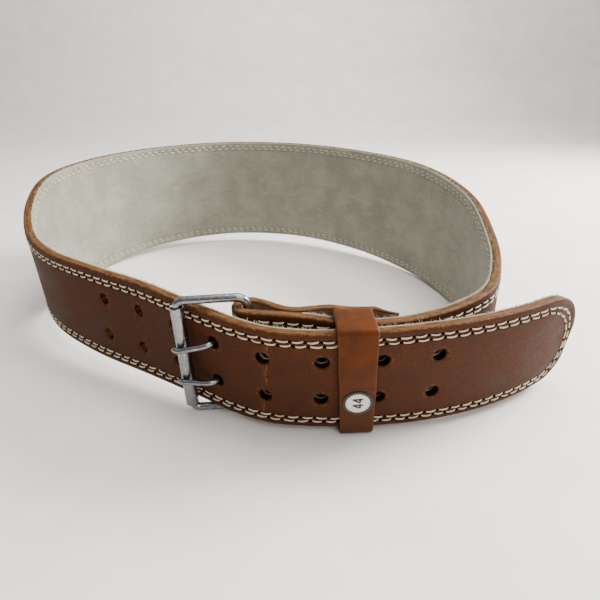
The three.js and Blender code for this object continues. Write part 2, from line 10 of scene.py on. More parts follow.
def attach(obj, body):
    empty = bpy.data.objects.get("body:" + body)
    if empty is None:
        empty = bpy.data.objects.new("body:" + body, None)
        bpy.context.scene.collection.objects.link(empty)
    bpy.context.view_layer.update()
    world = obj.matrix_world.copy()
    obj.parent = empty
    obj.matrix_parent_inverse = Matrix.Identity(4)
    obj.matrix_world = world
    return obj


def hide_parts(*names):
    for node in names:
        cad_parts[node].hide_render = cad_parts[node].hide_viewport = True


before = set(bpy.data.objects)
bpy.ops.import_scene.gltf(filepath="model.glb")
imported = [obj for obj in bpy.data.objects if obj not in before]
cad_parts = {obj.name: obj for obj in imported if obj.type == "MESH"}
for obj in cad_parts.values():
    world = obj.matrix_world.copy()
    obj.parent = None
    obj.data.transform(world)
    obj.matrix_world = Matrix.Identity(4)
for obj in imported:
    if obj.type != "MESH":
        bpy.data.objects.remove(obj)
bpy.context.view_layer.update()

bl_info = {
    "name": "Weightlifting belt",
    "version": (1, 0, 0),
    "blender": (4, 5, 0),
    "location": "3D View > Sidebar > Belt",
    "description": "A fastened leather weightlifting belt with a suede lining, a keeper and a roller buckle",
    "category": "Object",
}

# The belt's own sizes, in millimetres. They are the ones that the solids are made from.
LOOP_WIDTH = 337.6
LOOP_DEPTH = 359
BACK_HEIGHT = 102
FRONT_HEIGHT = 58.8
BUCKLE_END_HEIGHT = 57
TONGUE_DROP = 1.9
BUCKLE_END_RISE = 0.4
LEATHER = 4.9
LINING = 1.1
LINING_INSET = 0.5
SEAT_GAP = 0.3
STRAP = LEATHER + SEAT_GAP + LINING
TIP_UPPER = (36, 33)
TIP_LOWER = (16, 17)
HOLE_PAIRS = 8
FIRST_HOLE = 100.5
HOLE_PITCH = 28.6
HOLE_ROWS = 23.4
HOLE_DIAMETER = 7
FASTENED_PAIR = 5
KEEPER_GAP = 2.2
BULGE_GAP = 6.6
FOLD_GAP = 1.5
FOLD_RADIUS = 8.5
FOLD_FROM_TIP = 203
FOLD_LEAN = 1
FOLD_STEPS = 24
FLAP_LENGTH = 79
FLAP_STEPS = 26
FLAP_PINCH = 22
FLAP_PLAY = 0.7
FLAP_SKIVE = 18
FLAP_END = 1.6
LINING_STOP = 28
WIRE = 4.4
WIRE_BEND = 3.6
HINGE_BEND = 4.6
FRAME_REACH = 34.9
FRAME_PLAY_ABOVE = 2.4
FRAME_PLAY_BELOW = 0.35
FRAME_TURN = 1.6
ROLLER_WALL = 0.6
ROLLER_PLAY = 0.7
ROLLER_OVERHANG = 0.3
ROLLER_STAND = 1.3
ROLLER_INNER = WIRE / 2 + ROLLER_PLAY
ROLLER_OUTER = ROLLER_INNER + ROLLER_WALL
PRONG = 3.1
PRONG_PLAY = 0.5
PRONG_WRAP = 56
PRONG_DROPS = {1: 4.6, -1: 1}
SLOT_PLAY = 0.7
KEEPER_FROM_TIP = 140.7
KEEPER_WIDTH = 18.2
KEEPER_TAPER = 1.7
KEEPER_LEATHER = 2.4
KEEPER_PLAY = 0.8
KEEPER_CORNER = 3.4
KEEPER_SKEW = 3.1
LABEL_DIAMETER = 15.2
LABEL_THICKNESS = 0.4
LABEL_DROP = 11.5

# Sizes that only the looks need, in millimetres: half the side of the square of rows round a hole, the middle
# of the two rows of stitches from the edge, and the place of the old crease.
HOLE_BORDER = 6
ROWS_MIDDLE = 5.45
CREASE_FROM_TIP = 185.2
# Metres across a cut edge for each step of its side value.
EDGE_SPREAD = 0.016

# The strap seen from above, as shares of the loop's width and depth, with the outward lean of its face in
# degrees and the share of the way from the front's height to the back's.
SECTIONS = [
    (0.577, 0.141, 4.5, 0.06), (0.48, 0.078, 4.8, 0.06), (0.386, 0.0373, 4.9, 0.06),
    (0.286, 0.0117, 5.1, 0.05), (0.198, 0.0008, 6, 0.035), (0.124, -0.001, 6.5, 0.02),
    (0.0684, 0.0065, 5.5, 0.01), (0.0121, 0.0305, 3.2, 0), (-0.0515, 0.0707, 1.8, 0),
    (-0.1496, 0.1328, -2, 0), (-0.2639, 0.1974, -2.6, 0), (-0.37, 0.2728, -0.5, 0),
    (-0.4428, 0.3602, 1.8, 0.1), (-0.4861, 0.4635, 1.8, 0.55), (-0.5, 0.5738, 1.8, 0.91),
    (-0.465, 0.7363, 1.3, 1), (-0.3451, 0.8934, 0.9, 1), (-0.1363, 0.9925, 0.8, 1),
    (0.0972, 0.9747, 0.7, 1), (0.2962, 0.8566, 0.6, 1), (0.4372, 0.679, -0.1, 0.98),
    (0.4982, 0.4655, -1.2, 0.74), (0.4905, 0.299, -2, 0.29), (0.4624, 0.191, -2.5, 0.08),
    (0.4135, 0.1055, -1.5, 0),
]
BUCKLE_END = [(KEEPER_FROM_TIP - 30, KEEPER_GAP, 5), (KEEPER_FROM_TIP + 2, KEEPER_GAP, 6),
              (KEEPER_FROM_TIP + 26, BULGE_GAP, 3)]

# Where the belt rests, and where the photograph was taken from.
TILT = 4.158
SHIFT = (-12.13, -175.84, 34.69)
CAMERA_PLACE = (26.47, -374.52, 163.29)
CAMERA_PITCH = 23.399
CAMERA_LENS = 29.2


# Paths and places, in the belt's own directions.

def smooth(value, start, end):
    """0 up to start, 1 from end on, and an even S-curve between."""
    share = np.clip((value - start) / (end - start), 0, 1)
    return share * share * (3 - 2 * share)


def cubic_value(places, values, place):
    """The smooth curve through the values that the solids use too."""
    i = int(np.clip(np.searchsorted(places, place, side="right"), 1, len(places) - 1))
    start, end = places[i - 1], places[i]
    before, before_value = (places[i - 2], values[i - 2]) if i > 1 else (end, values[i])
    after, after_value = (places[i + 1], values[i + 1]) if i + 1 < len(places) else (start, values[i - 1])
    half = (end - start) / 2
    back = half / (start - before)
    on = half / (after - end)
    p = (place - start) / (end - start)
    return (before_value * (-back * p**3 + 2 * back * p**2 - back * p)
            + values[i - 1] * ((1 + back) * p**3 + (-1.5 - 2 * back) * p**2 + (-0.5 + back) * p + 1)
            + values[i] * ((-1 - on) * p**3 + (1.5 + on) * p**2 + 0.5 * p)
            + after_value * (on * p**3 - on * p**2))


def stations_of(rows):
    """Close stations along rows of x, y, lean, height and middle."""
    rows = np.array(rows, float)
    places = np.concatenate(([0], np.cumsum(np.hypot(*np.diff(rows[:, :2], axis=0).T))))
    count = math.ceil(places[-1] / 2)
    return np.array([cubic_value(places, rows, places[-1] * i / count) for i in range(count + 1)])


class Path:
    """The strap's route: the distance from the tongue's tip, and the strap's frame at any distance."""

    def __init__(self, stations):
        self.stations = np.array(stations, float)
        steps = np.hypot(*np.diff(self.stations[:, :2], axis=0).T)
        self.run = np.concatenate(([0], np.cumsum(steps)))
        self.length = self.run[-1]
        ahead = np.gradient(self.stations[:, :2], axis=0)
        self.ahead = ahead / np.linalg.norm(ahead, axis=1)[:, None]

    def at(self, places):
        """The strap's place, lean, height, middle and directions at distances along it."""
        values = [np.interp(places, self.run, column) for column in self.stations.T]
        ahead = np.stack([np.interp(places, self.run, column) for column in self.ahead.T], -1)
        ahead = ahead / np.linalg.norm(ahead, axis=-1, keepdims=True)
        out = np.stack((-ahead[..., 1], ahead[..., 0]), -1)
        x, y, lean, height, middle = values
        return {"x": x, "y": y, "lean": np.radians(lean), "height": height, "middle": middle,
                "ahead": ahead, "out": out}

    def points(self, places, out, up):
        """Points out from the outer face and up from the middle, at distances along the strap."""
        here = self.at(places)
        # Beyond the tip the strap goes straight on.
        over = np.minimum(places, 0)
        sideways = out + up * np.sin(here["lean"])
        x = here["x"] + here["out"][..., 0] * sideways + here["ahead"][..., 0] * over
        y = here["y"] + here["out"][..., 1] * sideways + here["ahead"][..., 1] * over
        return np.stack((x, y, up * np.cos(here["lean"])), -1)


def point_at(here, out, up):
    """A point out from the outer face and up from the middle, at one place."""
    sideways = out + up * math.sin(here["lean"])
    return np.array((here["x"] + here["out"][0] * sideways, here["y"] + here["out"][1] * sideways,
                     up * math.cos(here["lean"])))


def up_of(out, lean):
    """The way up a face that leans outwards by an angle."""
    return np.array((out[0] * math.sin(lean), out[1] * math.sin(lean), math.cos(lean)))


def turned(directions):
    """Directions in the belt's own frame to the part's."""
    tilt = math.radians(TILT)
    x, y, z = np.array(directions, float).reshape(-1, 3).T
    return np.stack((x, y * math.cos(tilt) - z * math.sin(tilt), y * math.sin(tilt) + z * math.cos(tilt)), -1)


def in_part(points):
    """Points in the belt's own directions, in millimetres, to the part's frame, in metres."""
    return (turned(points) + SHIFT) / 1000


sections = [
    (across * LOOP_WIDTH, along * LOOP_DEPTH, lean, FRONT_HEIGHT + (BACK_HEIGHT - FRONT_HEIGHT) * rise,
     -TONGUE_DROP + (BUCKLE_END_RISE + TONGUE_DROP) * i / (len(SECTIONS) - 1))
    for i, (across, along, lean, rise) in enumerate(SECTIONS)
]
tongue = Path(stations_of(sections))


def edges_between(start, end):
    """The lowest and the highest edge of tongue and buckle end along a stretch."""
    here = tongue.at(np.linspace(start, end, 9))
    top = max(BUCKLE_END_RISE + BUCKLE_END_HEIGHT / 2, (here["middle"] + here["height"] / 2).max())
    bottom = min(BUCKLE_END_RISE - BUCKLE_END_HEIGHT / 2, (here["middle"] - here["height"] / 2).min())
    return bottom, top


def behind(place, depth, lean):
    """A station of the buckle end, at a depth behind the tongue's outer face."""
    here = tongue.at(place)
    return (here["x"] - here["out"][0] * depth, here["y"] - here["out"][1] * depth, lean,
            BUCKLE_END_HEIGHT, BUCKLE_END_RISE)


in_keeper = edges_between(KEEPER_FROM_TIP - KEEPER_WIDTH / 2, KEEPER_FROM_TIP + KEEPER_WIDTH / 2)
under_frame = edges_between(FOLD_FROM_TIP - FOLD_RADIUS, FOLD_FROM_TIP + FRAME_REACH)
frame_top = under_frame[1] + FRAME_PLAY_ABOVE + WIRE / 2
frame_bottom = under_frame[0] - FRAME_PLAY_BELOW - WIRE / 2

bulge = [behind(place, STRAP + gap, lean) for place, gap, lean in BUCKLE_END]
fold = behind(FOLD_FROM_TIP, STRAP + FOLD_GAP + FOLD_RADIUS, FOLD_LEAN)
fold_centre = np.array(fold[:2])
towards_fold = fold_centre - np.array(bulge[-1][:2])
fold_angle = math.atan2(towards_fold[1], towards_fold[0]) + math.asin(
    FOLD_RADIUS / np.linalg.norm(towards_fold)) * 0.5
fold_ahead = np.array((math.cos(fold_angle), math.sin(fold_angle)))
fold_out = np.array((-fold_ahead[1], fold_ahead[0]))
loop_stations = stations_of([*sections, *bulge, (*(fold_centre + fold_out * FOLD_RADIUS), *fold[2:])])
loop = Path(loop_stations)
keeper_frame = tongue.at(KEEPER_FROM_TIP)


def place_behind(here):
    """The place on the strap behind the tongue that lies straight behind a place along the tongue."""
    for place in np.arange(loop.length, loop.length - 2 * FLAP_LENGTH, -0.25):
        there = loop.at(place)
        if (there["x"] - here["x"]) * here["ahead"][0] + (there["y"] - here["y"]) * here["ahead"][1] < 0:
            return place
    return loop.length - 2 * FLAP_LENGTH


keeper_back = loop.length - place_behind(keeper_frame)
keeper_span = KEEPER_WIDTH + KEEPER_SKEW + KEEPER_TAPER / 2


def depth_in_keeper():
    """How deep behind the tongue's outer face the keeper reaches."""
    depth = 0
    for step in np.linspace(-1, 1, 9):
        there = loop.at(loop.length - keeper_back + step * keeper_span / 2)
        for up in in_keeper:
            back = (point_at(keeper_frame, 0, up) - point_at(there, -STRAP, up))[:2] @ keeper_frame["out"]
            depth = max(depth, back)
    return depth + KEEPER_PLAY


keeper_depth = depth_in_keeper()


def flap_depth(back):
    """How far the flap's outer face lies behind the outer face of the strap that it comes back along."""
    pinched = 2 * LEATHER + FLAP_PLAY
    over_keeper = keeper_depth - STRAP - KEEPER_GAP + KEEPER_LEATHER + 2 * FLAP_PLAY + LEATHER
    at_end = STRAP + FLAP_PLAY + FLAP_END
    start = keeper_back - keeper_span / 2 - 1
    end = keeper_back + keeper_span / 2 + 1
    if back < FLAP_PINCH:
        return 2 * FOLD_RADIUS + (pinched - 2 * FOLD_RADIUS) * smooth(back, WIRE, FLAP_PINCH)
    if back < start:
        return pinched + (over_keeper - pinched) * smooth(back, FLAP_PINCH, start)
    return over_keeper + (at_end - over_keeper) * smooth(back, end, FLAP_LENGTH)


fold_stations = [
    (*(fold_centre + FOLD_RADIUS * (fold_out * math.cos(turn) + fold_ahead * math.sin(turn))), *fold[2:])
    for turn in math.pi * np.arange(1, FOLD_STEPS + 1) / FOLD_STEPS
]
flap_stations = []
for back in FLAP_LENGTH * np.arange(1, FLAP_STEPS + 1) / FLAP_STEPS:
    there = loop.at(loop.length - back)
    depth = flap_depth(back)
    flap_stations.append((there["x"] - there["out"][0] * depth, there["y"] - there["out"][1] * depth,
                          -math.degrees(there["lean"]), BUCKLE_END_HEIGHT, BUCKLE_END_RISE))
whole = Path([*loop_stations, *fold_stations, *flap_stations])
fold_length = math.pi * FOLD_RADIUS


def edges_at(path, places, inset):
    """The upper and lower edge along the strap, with the tongue's end rounded, drawn in by an inset."""
    here = path.at(places)

    def corner(reach, drop):
        share = np.clip(1 - (places - inset) / reach, 0, 1)
        return here["height"] / 2 - drop * (1 - np.sqrt(1 - share * share)) - inset

    return here["middle"] - corner(*TIP_LOWER), here["middle"] + corner(*TIP_UPPER)


# The buckle's own directions: reach from the hinge bar to the roller, out to the front.
hinge = np.array((*fold_centre, 0))


def roller_place():
    """Where the roller stands on the strap: the frame's reach away from the hinge bar."""
    places = np.arange(FOLD_FROM_TIP, FOLD_FROM_TIP + 3 * FRAME_REACH, 0.25)
    centres = whole.points(places, ROLLER_OUTER + ROLLER_STAND, np.zeros_like(places))
    misses = abs(np.hypot(*(centres - hinge)[:, :2].T) - FRAME_REACH)
    return centres[misses.argmin()]


upright = up_of(fold_out, math.radians(FOLD_LEAN))
outward = -np.cross(roller_place() - hinge, upright)
outward /= np.linalg.norm(outward)
upright = np.array(Matrix.Rotation(math.radians(FRAME_TURN), 3, Vector(outward)) @ Vector(upright))
reach = np.cross(upright, -outward)


def in_frame(along, out, up):
    """A point in the buckle's own directions to the belt's."""
    return hinge + reach * along + outward * out + upright * up


def local(point):
    """A point in the belt's own directions to the buckle's."""
    offset = point - hinge
    return offset @ reach, offset @ outward, offset @ upright


hole_frame = whole.at(FIRST_HOLE + (FASTENED_PAIR - 1) * HOLE_PITCH)
prong_heights = {side: local(point_at(hole_frame, -STRAP / 2, side * HOLE_ROWS / 2))[2] for side in (1, -1)}


# Colours, nodes and materials.

def linear(hexadecimal):
    """An sRGB hex value as the linear colour that Blender's sockets hold."""
    channels = [int(hexadecimal[i:i + 2], 16) / 255 for i in (1, 3, 5)]
    return tuple(c / 12.92 if c <= 0.04045 else ((c + 0.055) / 1.055) ** 2.4 for c in channels) + (1,)


def length(name, description, millimetres):
    return bpy.props.FloatProperty(name=name, description=description, default=millimetres / 1000, min=0,
                                   subtype="DISTANCE", unit="LENGTH", precision=4)


def colour(name, description, hexadecimal):
    return bpy.props.FloatVectorProperty(name=name, description=description, default=linear(hexadecimal),
                                         size=4, min=0, max=1, subtype="COLOR")


class BeltSizes(bpy.types.PropertyGroup):
    edge_round: length("Edge rounding", "Radius of the burnished edge on the grain side", 1.1)
    stitch_pitch: length("Stitch pitch", "From one stitch to the next", 7.16)
    stitch_length: length("Stitch length", "Length of the thread that shows between two needle holes", 5.7)
    thread: length("Thread", "Width of the sewing thread", 0.95)
    outer_row: length("Outer row", "From the strap's edge to the first row of stitches", 4.2)
    row_spacing: length("Row spacing", "Between the two rows of stitches", 2.5)
    fibre: length("Fibre", "Length of the loose fibres along the lining's edges", 1.3)
    digits: length("Digits", "Height of the number on the label", 5.2)
    ticks: bpy.props.IntProperty(name="Ticks", description="Marks round the label", default=24, min=0)


class BeltColours(bpy.types.PropertyGroup):
    grain: colour("Grain", "The strap's outer face", "#4a250a")
    grain_dark: colour("Dark grain", "Where oil and handling have darkened the face", "#381b0a")
    edge: colour("Edge", "The strap's burnished edge", "#74502b")
    flesh: colour("Flesh side", "The inner side of the leather", "#80604a")
    keeper: colour("Keeper", "The keeper's leather", "#5a2800")
    suede: colour("Suede", "The lining", "#9b9b8c")
    thread: colour("Thread", "The stitches on the outer face", "#d3c6a8")
    zinc: colour("Zinc", "The buckle's plating", "#949597")
    label: colour("Label", "The label's face", "#e2ddcd")
    table: colour("Table", "The surface that the belt rests on", "#fbf7f2")


# The kinds of node that are used often: Blender's name, the inputs in the order in which values are given,
# the output that is used, and the settings.
NODES = {
    "mix": ("ShaderNodeMix", (0, 6, 7), 2, {"data_type": "RGBA"}),
    "span": ("ShaderNodeMapRange", (0, 1, 2, 3, 4), 0, {"interpolation_type": "SMOOTHSTEP"}),
    "stretch": ("ShaderNodeMapping", (0, 3), 0, {}),
    "noise": ("ShaderNodeTexNoise", ("Vector", "Scale", "Detail", "Roughness"), 0, {}),
    "parts": ("ShaderNodeSeparateXYZ", (0,), 0, {}),
    "join": ("ShaderNodeCombineXYZ", (0, 1), 0, {}),
    "scaled": ("ShaderNodeVectorMath", (0, 3), 0, {"operation": "SCALE"}),
    "object place": ("ShaderNodeTexCoord", (), "Object", {}),
}
for operation in ("ADD", "SUBTRACT", "MULTIPLY", "MODULO", "MAXIMUM", "ABSOLUTE", "SQRT", "GREATER_THAN",
                  "LESS_THAN"):
    NODES[operation.lower()] = ("ShaderNodeMath", (0, 1), 0, {"operation": operation})


def add(tree, kind, *values, sockets=None, **settings):
    """Adds a node with its settings. Its inputs get values, hex colours or links, in order or by name."""
    kind, order, output, first = NODES.get(kind, (kind, range(len(values)), 0, {}))
    node = tree.nodes.new(kind)
    for name, value in {**first, **settings}.items():
        setattr(node, name, value)
    for key, value in [*zip(order, values), *(sockets or {}).items()]:
        if isinstance(value, bpy.types.NodeSocket):
            tree.links.new(value, node.inputs[key])
        elif isinstance(value, str) and value.startswith("#"):
            node.inputs[key].default_value = linear(value)
        else:
            node.inputs[key].default_value = value
    return node.outputs[output] if len(node.outputs) else None


def begin(name):
    """A new material, and the function that adds nodes to it."""
    material = bpy.data.materials.new(name)
    material.use_nodes = True
    material.node_tree.nodes.clear()
    return material, functools.partial(add, material.node_tree)


def layer_place(node):
    """Where a point lies on its layer, in metres: the place itself, along it, up it and in from its outline.
    Last comes its side: 0 on a face, up to 1.1 on an edge and 2 on a hole's wall."""
    place = node("ShaderNodeUVMap", uv_map="strap")
    border = node("ShaderNodeUVMap", uv_map="border")
    along, up, _ = node("parts", place).node.outputs
    inset, side, _ = node("parts", border).node.outputs
    return place, along, up, inset, side


def finish(node, sockets, relief=()):
    """Ends a material with its shader's inputs and its relief, as heights with depths in millimetres."""
    sockets = dict(sockets)
    for height, depth in relief:
        below = {"Normal": sockets["Normal"]} if "Normal" in sockets else {}
        sockets["Normal"] = node("ShaderNodeBump", sockets={"Height": height, "Strength": 1.0,
                                                            "Distance": depth / 1000, **below})
    shader = node("ShaderNodeBsdfPrincipled", sockets=sockets)
    node("ShaderNodeOutputMaterial", sockets={"Surface": shader})


# Materials. A noise's scale is 1000 over the size of its marks in millimetres. The finest marks, such as
# pores, are a little coarser than they are on the real belt, so that they show.

def grain_leather(colours):
    """Vegetable-tanned cowhide, oiled and pressed smooth: a dark red-brown with a soft wide shine, fine
    pores, cloudy oil marks, tan cracks at the crease and compressed rims round the holes."""
    material, node = begin("oiled vegetable-tanned leather")
    place, along, up, inset, side = layer_place(node)

    clouds = node("noise", node("stretch", place, (1, 1.3, 1)), 1000 / 18, 5, 0.6)
    marks = node("noise", node("stretch", place, (0.6, 1.4, 1)), 1000 / 5, 4, 0.65)
    pores = node("noise", place, 1000 / 1.3, 3, 0.7)
    base = node("mix", node("span", clouds, 0.25, 0.75), colours.grain_dark, colours.grain)
    base = node("mix", node("span", marks, 0.5, 0.75, 0, 0.18), base, "#5c3213")
    base = node("mix", node("span", pores, 0.5, 0.75, 0, 0.3), base, "#2b150b")
    specks = node("noise", place, 1000 / 0.9, 2, 0.6)
    base = node("mix", node("span", specks, 0.58, 0.72, 0, 0.4), base, "#7d4d2c")
    lower = node("multiply", node("span", up, 0.02, -0.03), 0.45)
    base = node("mix", lower, base, "#3e2215")

    # The furrow that the two rows of stitches pull into the face, darkened in colour as painted shade.
    furrow = node("absolute", node("subtract", inset, ROWS_MIDDLE / 1000))
    furrow = node("span", furrow, 0.0034, 0.0012)
    base = node("mix", node("multiply", furrow, 0.35), base, "#331b13")

    # The edges: a worn rim, and a cut side whose fibres run along the strap.
    fuzz = node("noise", node("stretch", place, (0.6, 1, 1)), 1000 / 1.6, 4, 0.7)
    worn = node("multiply", node("span", inset, 0.0011, 0.0001), node("span", fuzz, 0.3, 0.65, 0.2, 0.9))
    rim = node("mix", node("span", fuzz, 0.35, 0.65), "#43260f", colours.edge)
    base = node("mix", worn, base, rim)
    edge_place = node("join", along, node("multiply", side, EDGE_SPREAD))
    plies = node("noise", node("stretch", edge_place, (0.16, 1, 1)), 1000 / 1.6, 5, 0.75)
    cut = node("mix", node("span", plies, 0.38, 0.64), "#3f2713", colours.edge)
    base = node("mix", node("span", side, 0.3, 0.8), base, cut)
    # Painted shade in the holes: their walls are painted near black.
    hole_wall_shade = node("mix", node("span", marks, 0.4, 0.6), "#0e0704", "#2e1a0e")
    base = node("mix", node("span", side, 1.3, 1.7), base, hole_wall_shade)

    # Distance to the nearest hole, with a speckled halo round it and a ring of painted shade on its lip,
    # where the face turns down into the hole.
    shifted = node("subtract", along, (FIRST_HOLE - HOLE_PITCH / 2) / 1000)
    cell = node("subtract", node("modulo", shifted, HOLE_PITCH / 1000), HOLE_PITCH / 2000)
    rise = node("subtract", node("absolute", up), HOLE_ROWS / 2000)
    away = node("sqrt", node("add", node("multiply", cell, cell), node("multiply", rise, rise)))
    holed = node("multiply", node("greater_than", shifted, 0.0),
                 node("less_than", shifted, HOLE_PAIRS * HOLE_PITCH / 1000))
    on_face = node("span", side, 0.3, 0.1)
    halo = node("multiply", node("multiply", node("span", away, 0.006, 0.004), holed), on_face)
    speckled = node("multiply", halo, node("span", fuzz, 0.48, 0.68, 0, 0.6))
    base = node("mix", speckled, base, "#91562c")
    # Painted shade on the lip of each hole.
    ring = node("multiply", node("span", away, 0.0046, 0.0037), holed)
    base = node("mix", node("multiply", node("multiply", ring, on_face), 0.55), base, "#2c170e")

    # Cracks where the belt has been creased before, at the fourth pair of holes.
    slant = node("add", along, node("multiply", up, 0.14))
    bend = node("absolute", node("subtract", slant, CREASE_FROM_TIP / 1000))
    wander = node("noise", node("stretch", place, (1, 0.5, 1)), 1000 / 7, 3, 0.55)
    strands = node("noise", node("stretch", place, (1, 0.16, 1)), 1000 / 2.4, 3, 0.6)
    strands = node("absolute", node("subtract", strands, 0.5))
    strayed = node("add", slant, node("multiply", node("subtract", wander, 0.5), 0.007))
    line = node("absolute", node("subtract", strayed, CREASE_FROM_TIP / 1000))
    cracks = node("multiply", node("span", strands, 0.035, 0.008), node("span", bend, 0.0035, 0.0006))
    cracks = node("maximum", node("multiply", cracks, 0.35), node("span", line, 0.00032, 0.00008))
    broken = node("noise", node("stretch", place, (0.3, 1, 1)), 1000 / 5, 3, 0.55)
    cracks = node("multiply", node("multiply", cracks, on_face), node("span", broken, 0.4, 0.55))
    base = node("mix", node("multiply", cracks, 0.75), base, "#8b5a30")

    rough = node("add", node("span", clouds, 0.3, 0.7, 0.52, 0.64), node("span", pores, 0.4, 0.7, 0, 0.12))
    rough = node("add", rough, node("span", side, 1.1, 1.5, 0, 0.4), use_clamp=True)
    shine = node("span", side, 1.1, 1.5, 0.12, 0.0)
    opened = node("multiply", cracks, -1.0)
    finish(node, {"Base Color": base, "Roughness": rough, "Specular IOR Level": shine},
           [(clouds, 0.35), (furrow, -0.5), (marks, 0.18), (pores, 0.2), (opened, 0.3)])
    return material


def flesh_leather(colours):
    """The leather's unfinished inner side: matt, fibrous, and a little lighter."""
    material, node = begin("leather flesh side")
    place = layer_place(node)[0]
    fibres = node("noise", node("stretch", place, (0.7, 1, 1)), 1000 / 2, 5, 0.7)
    clouds = node("noise", place, 1000 / 14, 3, 0.55)
    base = node("mix", node("span", fibres, 0.35, 0.68), "#5e4230", colours.flesh)
    base = node("mix", node("span", clouds, 0.4, 0.7, 0, 0.4), base, "#967659")
    finish(node, {"Base Color": base, "Roughness": 0.9}, [(clouds, 0.4), (fibres, 0.5)])
    return material


def keeper_leather(colours):
    """The keeper's thinner, softer chrome-tanned leather: more orange, with painted shade over all but its
    upper bend, which is left lighter as a painted highlight.
    """
    material, node = begin("pull-up keeper leather")
    place, around, _, inset, side = layer_place(node)
    clouds = node("noise", place, 1000 / 11, 4, 0.55)
    pores = node("noise", place, 1000 / 1.6, 4, 0.7)
    base = node("mix", node("span", clouds, 0.3, 0.7), "#442004", colours.keeper)
    # Painted shade: the loop is darkened from a little below its top, round the bottom and up the back, which
    # leaves the upper bend lighter as a painted highlight.
    low = node("multiply", node("span", around, 0.012, 0.05), node("span", around, 0.15, 0.13))
    base = node("mix", node("multiply", low, 0.75), base, "#4d2e1b")
    base = node("mix", node("span", pores, 0.52, 0.75, 0, 0.35), base, "#361d13")
    worn = node("multiply", node("span", inset, 0.0009, 0.0001), node("span", pores, 0.35, 0.6, 0.1, 0.5))
    base = node("mix", worn, base, "#8e5c34")
    base = node("mix", node("span", side, 0.3, 0.8), base, "#4a2c1a")
    # The faint crease across the front, a little under half-way up, darkened with painted shade.
    crease = node("span", node("absolute", node("subtract", around, 0.0345)), 0.0011, 0.0002)
    base = node("mix", node("multiply", crease, 0.3), base, "#2c170f")
    rough = node("span", pores, 0.35, 0.7, 0.42, 0.6)
    finish(node, {"Base Color": base, "Roughness": rough, "Specular IOR Level": 0.1},
           [(clouds, 0.3), (crease, -0.12), (pores, 0.2)])
    return material


def suede(colours):
    """Split-leather suede: a matt grey-cream nap, brushed in patches, with a soft sheen at a flat angle."""
    material, node = begin("split suede")
    place, _, _, inset, side = layer_place(node)
    patches = node("noise", place, 1000 / 30, 4, 0.6)
    brushed = node("noise", node("stretch", place, (0.5, 1.3, 1)), 1000 / 7, 4, 0.65)
    nap = node("noise", place, 1000 / 1.5, 4, 0.75)
    base = node("mix", node("span", patches, 0.3, 0.72), "#868576", colours.suede)
    base = node("mix", node("span", brushed, 0.45, 0.75, 0, 0.3), base, "#b1b1a3")
    base = node("mix", node("span", nap, 0.46, 0.68, 0, 0.6), base, "#6d6c5b")
    # The furrow that the rows of stitches pull into the nap, darkened in colour as painted shade.
    furrow = node("absolute", node("subtract", inset, ROWS_MIDDLE / 1000))
    furrow = node("span", furrow, 0.0032, 0.0012)
    base = node("mix", node("multiply", furrow, 0.22), base, "#7c7a68")
    base = node("mix", node("span", side, 0.3, 0.8), base, "#9d9a86")
    # Painted shade in the holes: their walls are painted dark brown.
    base = node("mix", node("span", side, 1.3, 1.7), base, "#3a2c1f")
    finish(node, {"Base Color": base, "Roughness": 0.95, "Sheen Weight": 0.12, "Sheen Roughness": 0.6,
                  "Specular IOR Level": 0.2},
           [(patches, 0.3), (furrow, -0.6), (brushed, 0.3), (nap, 0.8)])
    return material


def waxed_thread(name, shade):
    """Waxed cotton thread: matt with a slight waxy shine, and dirt between its twisted strands."""
    material, node = begin(name)
    where = node("object place")
    dirt = node("noise", where, 1000 / 3, 3, 0.55)
    strands = node("noise", where, 1000 / 0.8, 3, 0.55)
    base = node("mix", node("span", dirt, 0.4, 0.7, 0, 0.5), shade, "#b39a74")
    base = node("mix", node("span", strands, 0.5, 0.75, 0, 0.45), base, "#8d7654")
    finish(node, {"Base Color": base, "Roughness": 0.65}, [(strands, 0.15)])
    return material


def needle_hole_shade():
    """Painted shade in the needle holes: the pierced leather round the thread, painted near black because it
    lies deep.
    """
    material, node = begin("pierced leather")
    where = node("object place")
    fibres = node("noise", where, 1000 / 1.2, 2, 0.55)
    base = node("mix", fibres, "#050302", "#1a0e07")
    finish(node, {"Base Color": base, "Roughness": 0.9, "Specular IOR Level": 0.0})
    return material


def loose_fibre():
    """Loose collagen fibres of the split leather: pale and matt, in lighter and darker tufts."""
    material, node = begin("split suede fibres")
    where = node("object place")
    tufts = node("noise", where, 1000 / 4, 2, 0.55)
    finish(node, {"Base Color": node("mix", tufts, "#aaa592", "#d9d5c6"), "Roughness": 0.95})
    return material


def zinc_plate(name, colours, wear):
    """Zinc-plated steel wire, tumbled: a grey metal with a broken shine, fine scratches and dull patches."""
    material, node = begin(name)
    where = node("object place")
    patches = node("noise", where, 1000 / 3.5, 4, 0.65)
    grit = node("noise", where, 1000 / 0.9, 3, 0.7)
    scratches = node("noise", node("stretch", where, (1, 1, 0.12)), 1000 / 1.4, 3, 0.6)
    base = node("mix", node("span", patches, 0.3, 0.7, 1 - 0.5 * wear, 1), "#626366", colours.zinc)
    base = node("mix", node("span", grit, 0.56, 0.74, 0, 0.4 * wear), base, "#4a484b")
    base = node("mix", node("span", scratches, 0.55, 0.72, 0, 0.4), base, "#dcdcde")
    rough = node("span", patches, 0.3, 0.7, 0.3, 0.18)
    finish(node, {"Base Color": base, "Metallic": 1, "Roughness": rough},
           [(patches, 0.035 * wear), (grit, 0.014 * wear), (scratches, 0.02)])
    return material


def printed_vinyl(name, shade, rubbed_shade):
    """Printed vinyl: a smooth plastic film, slightly yellowed and rubbed."""
    material, node = begin(name)
    where = node("object place")
    rubbed = node("noise", where, 1000 / 1.6, 4, 0.7)
    base = node("mix", node("span", rubbed, 0.48, 0.75, 0, 0.6), shade, rubbed_shade)
    finish(node, {"Base Color": base, "Roughness": 0.42}, [(rubbed, 0.03)])
    return material


# Meshes.

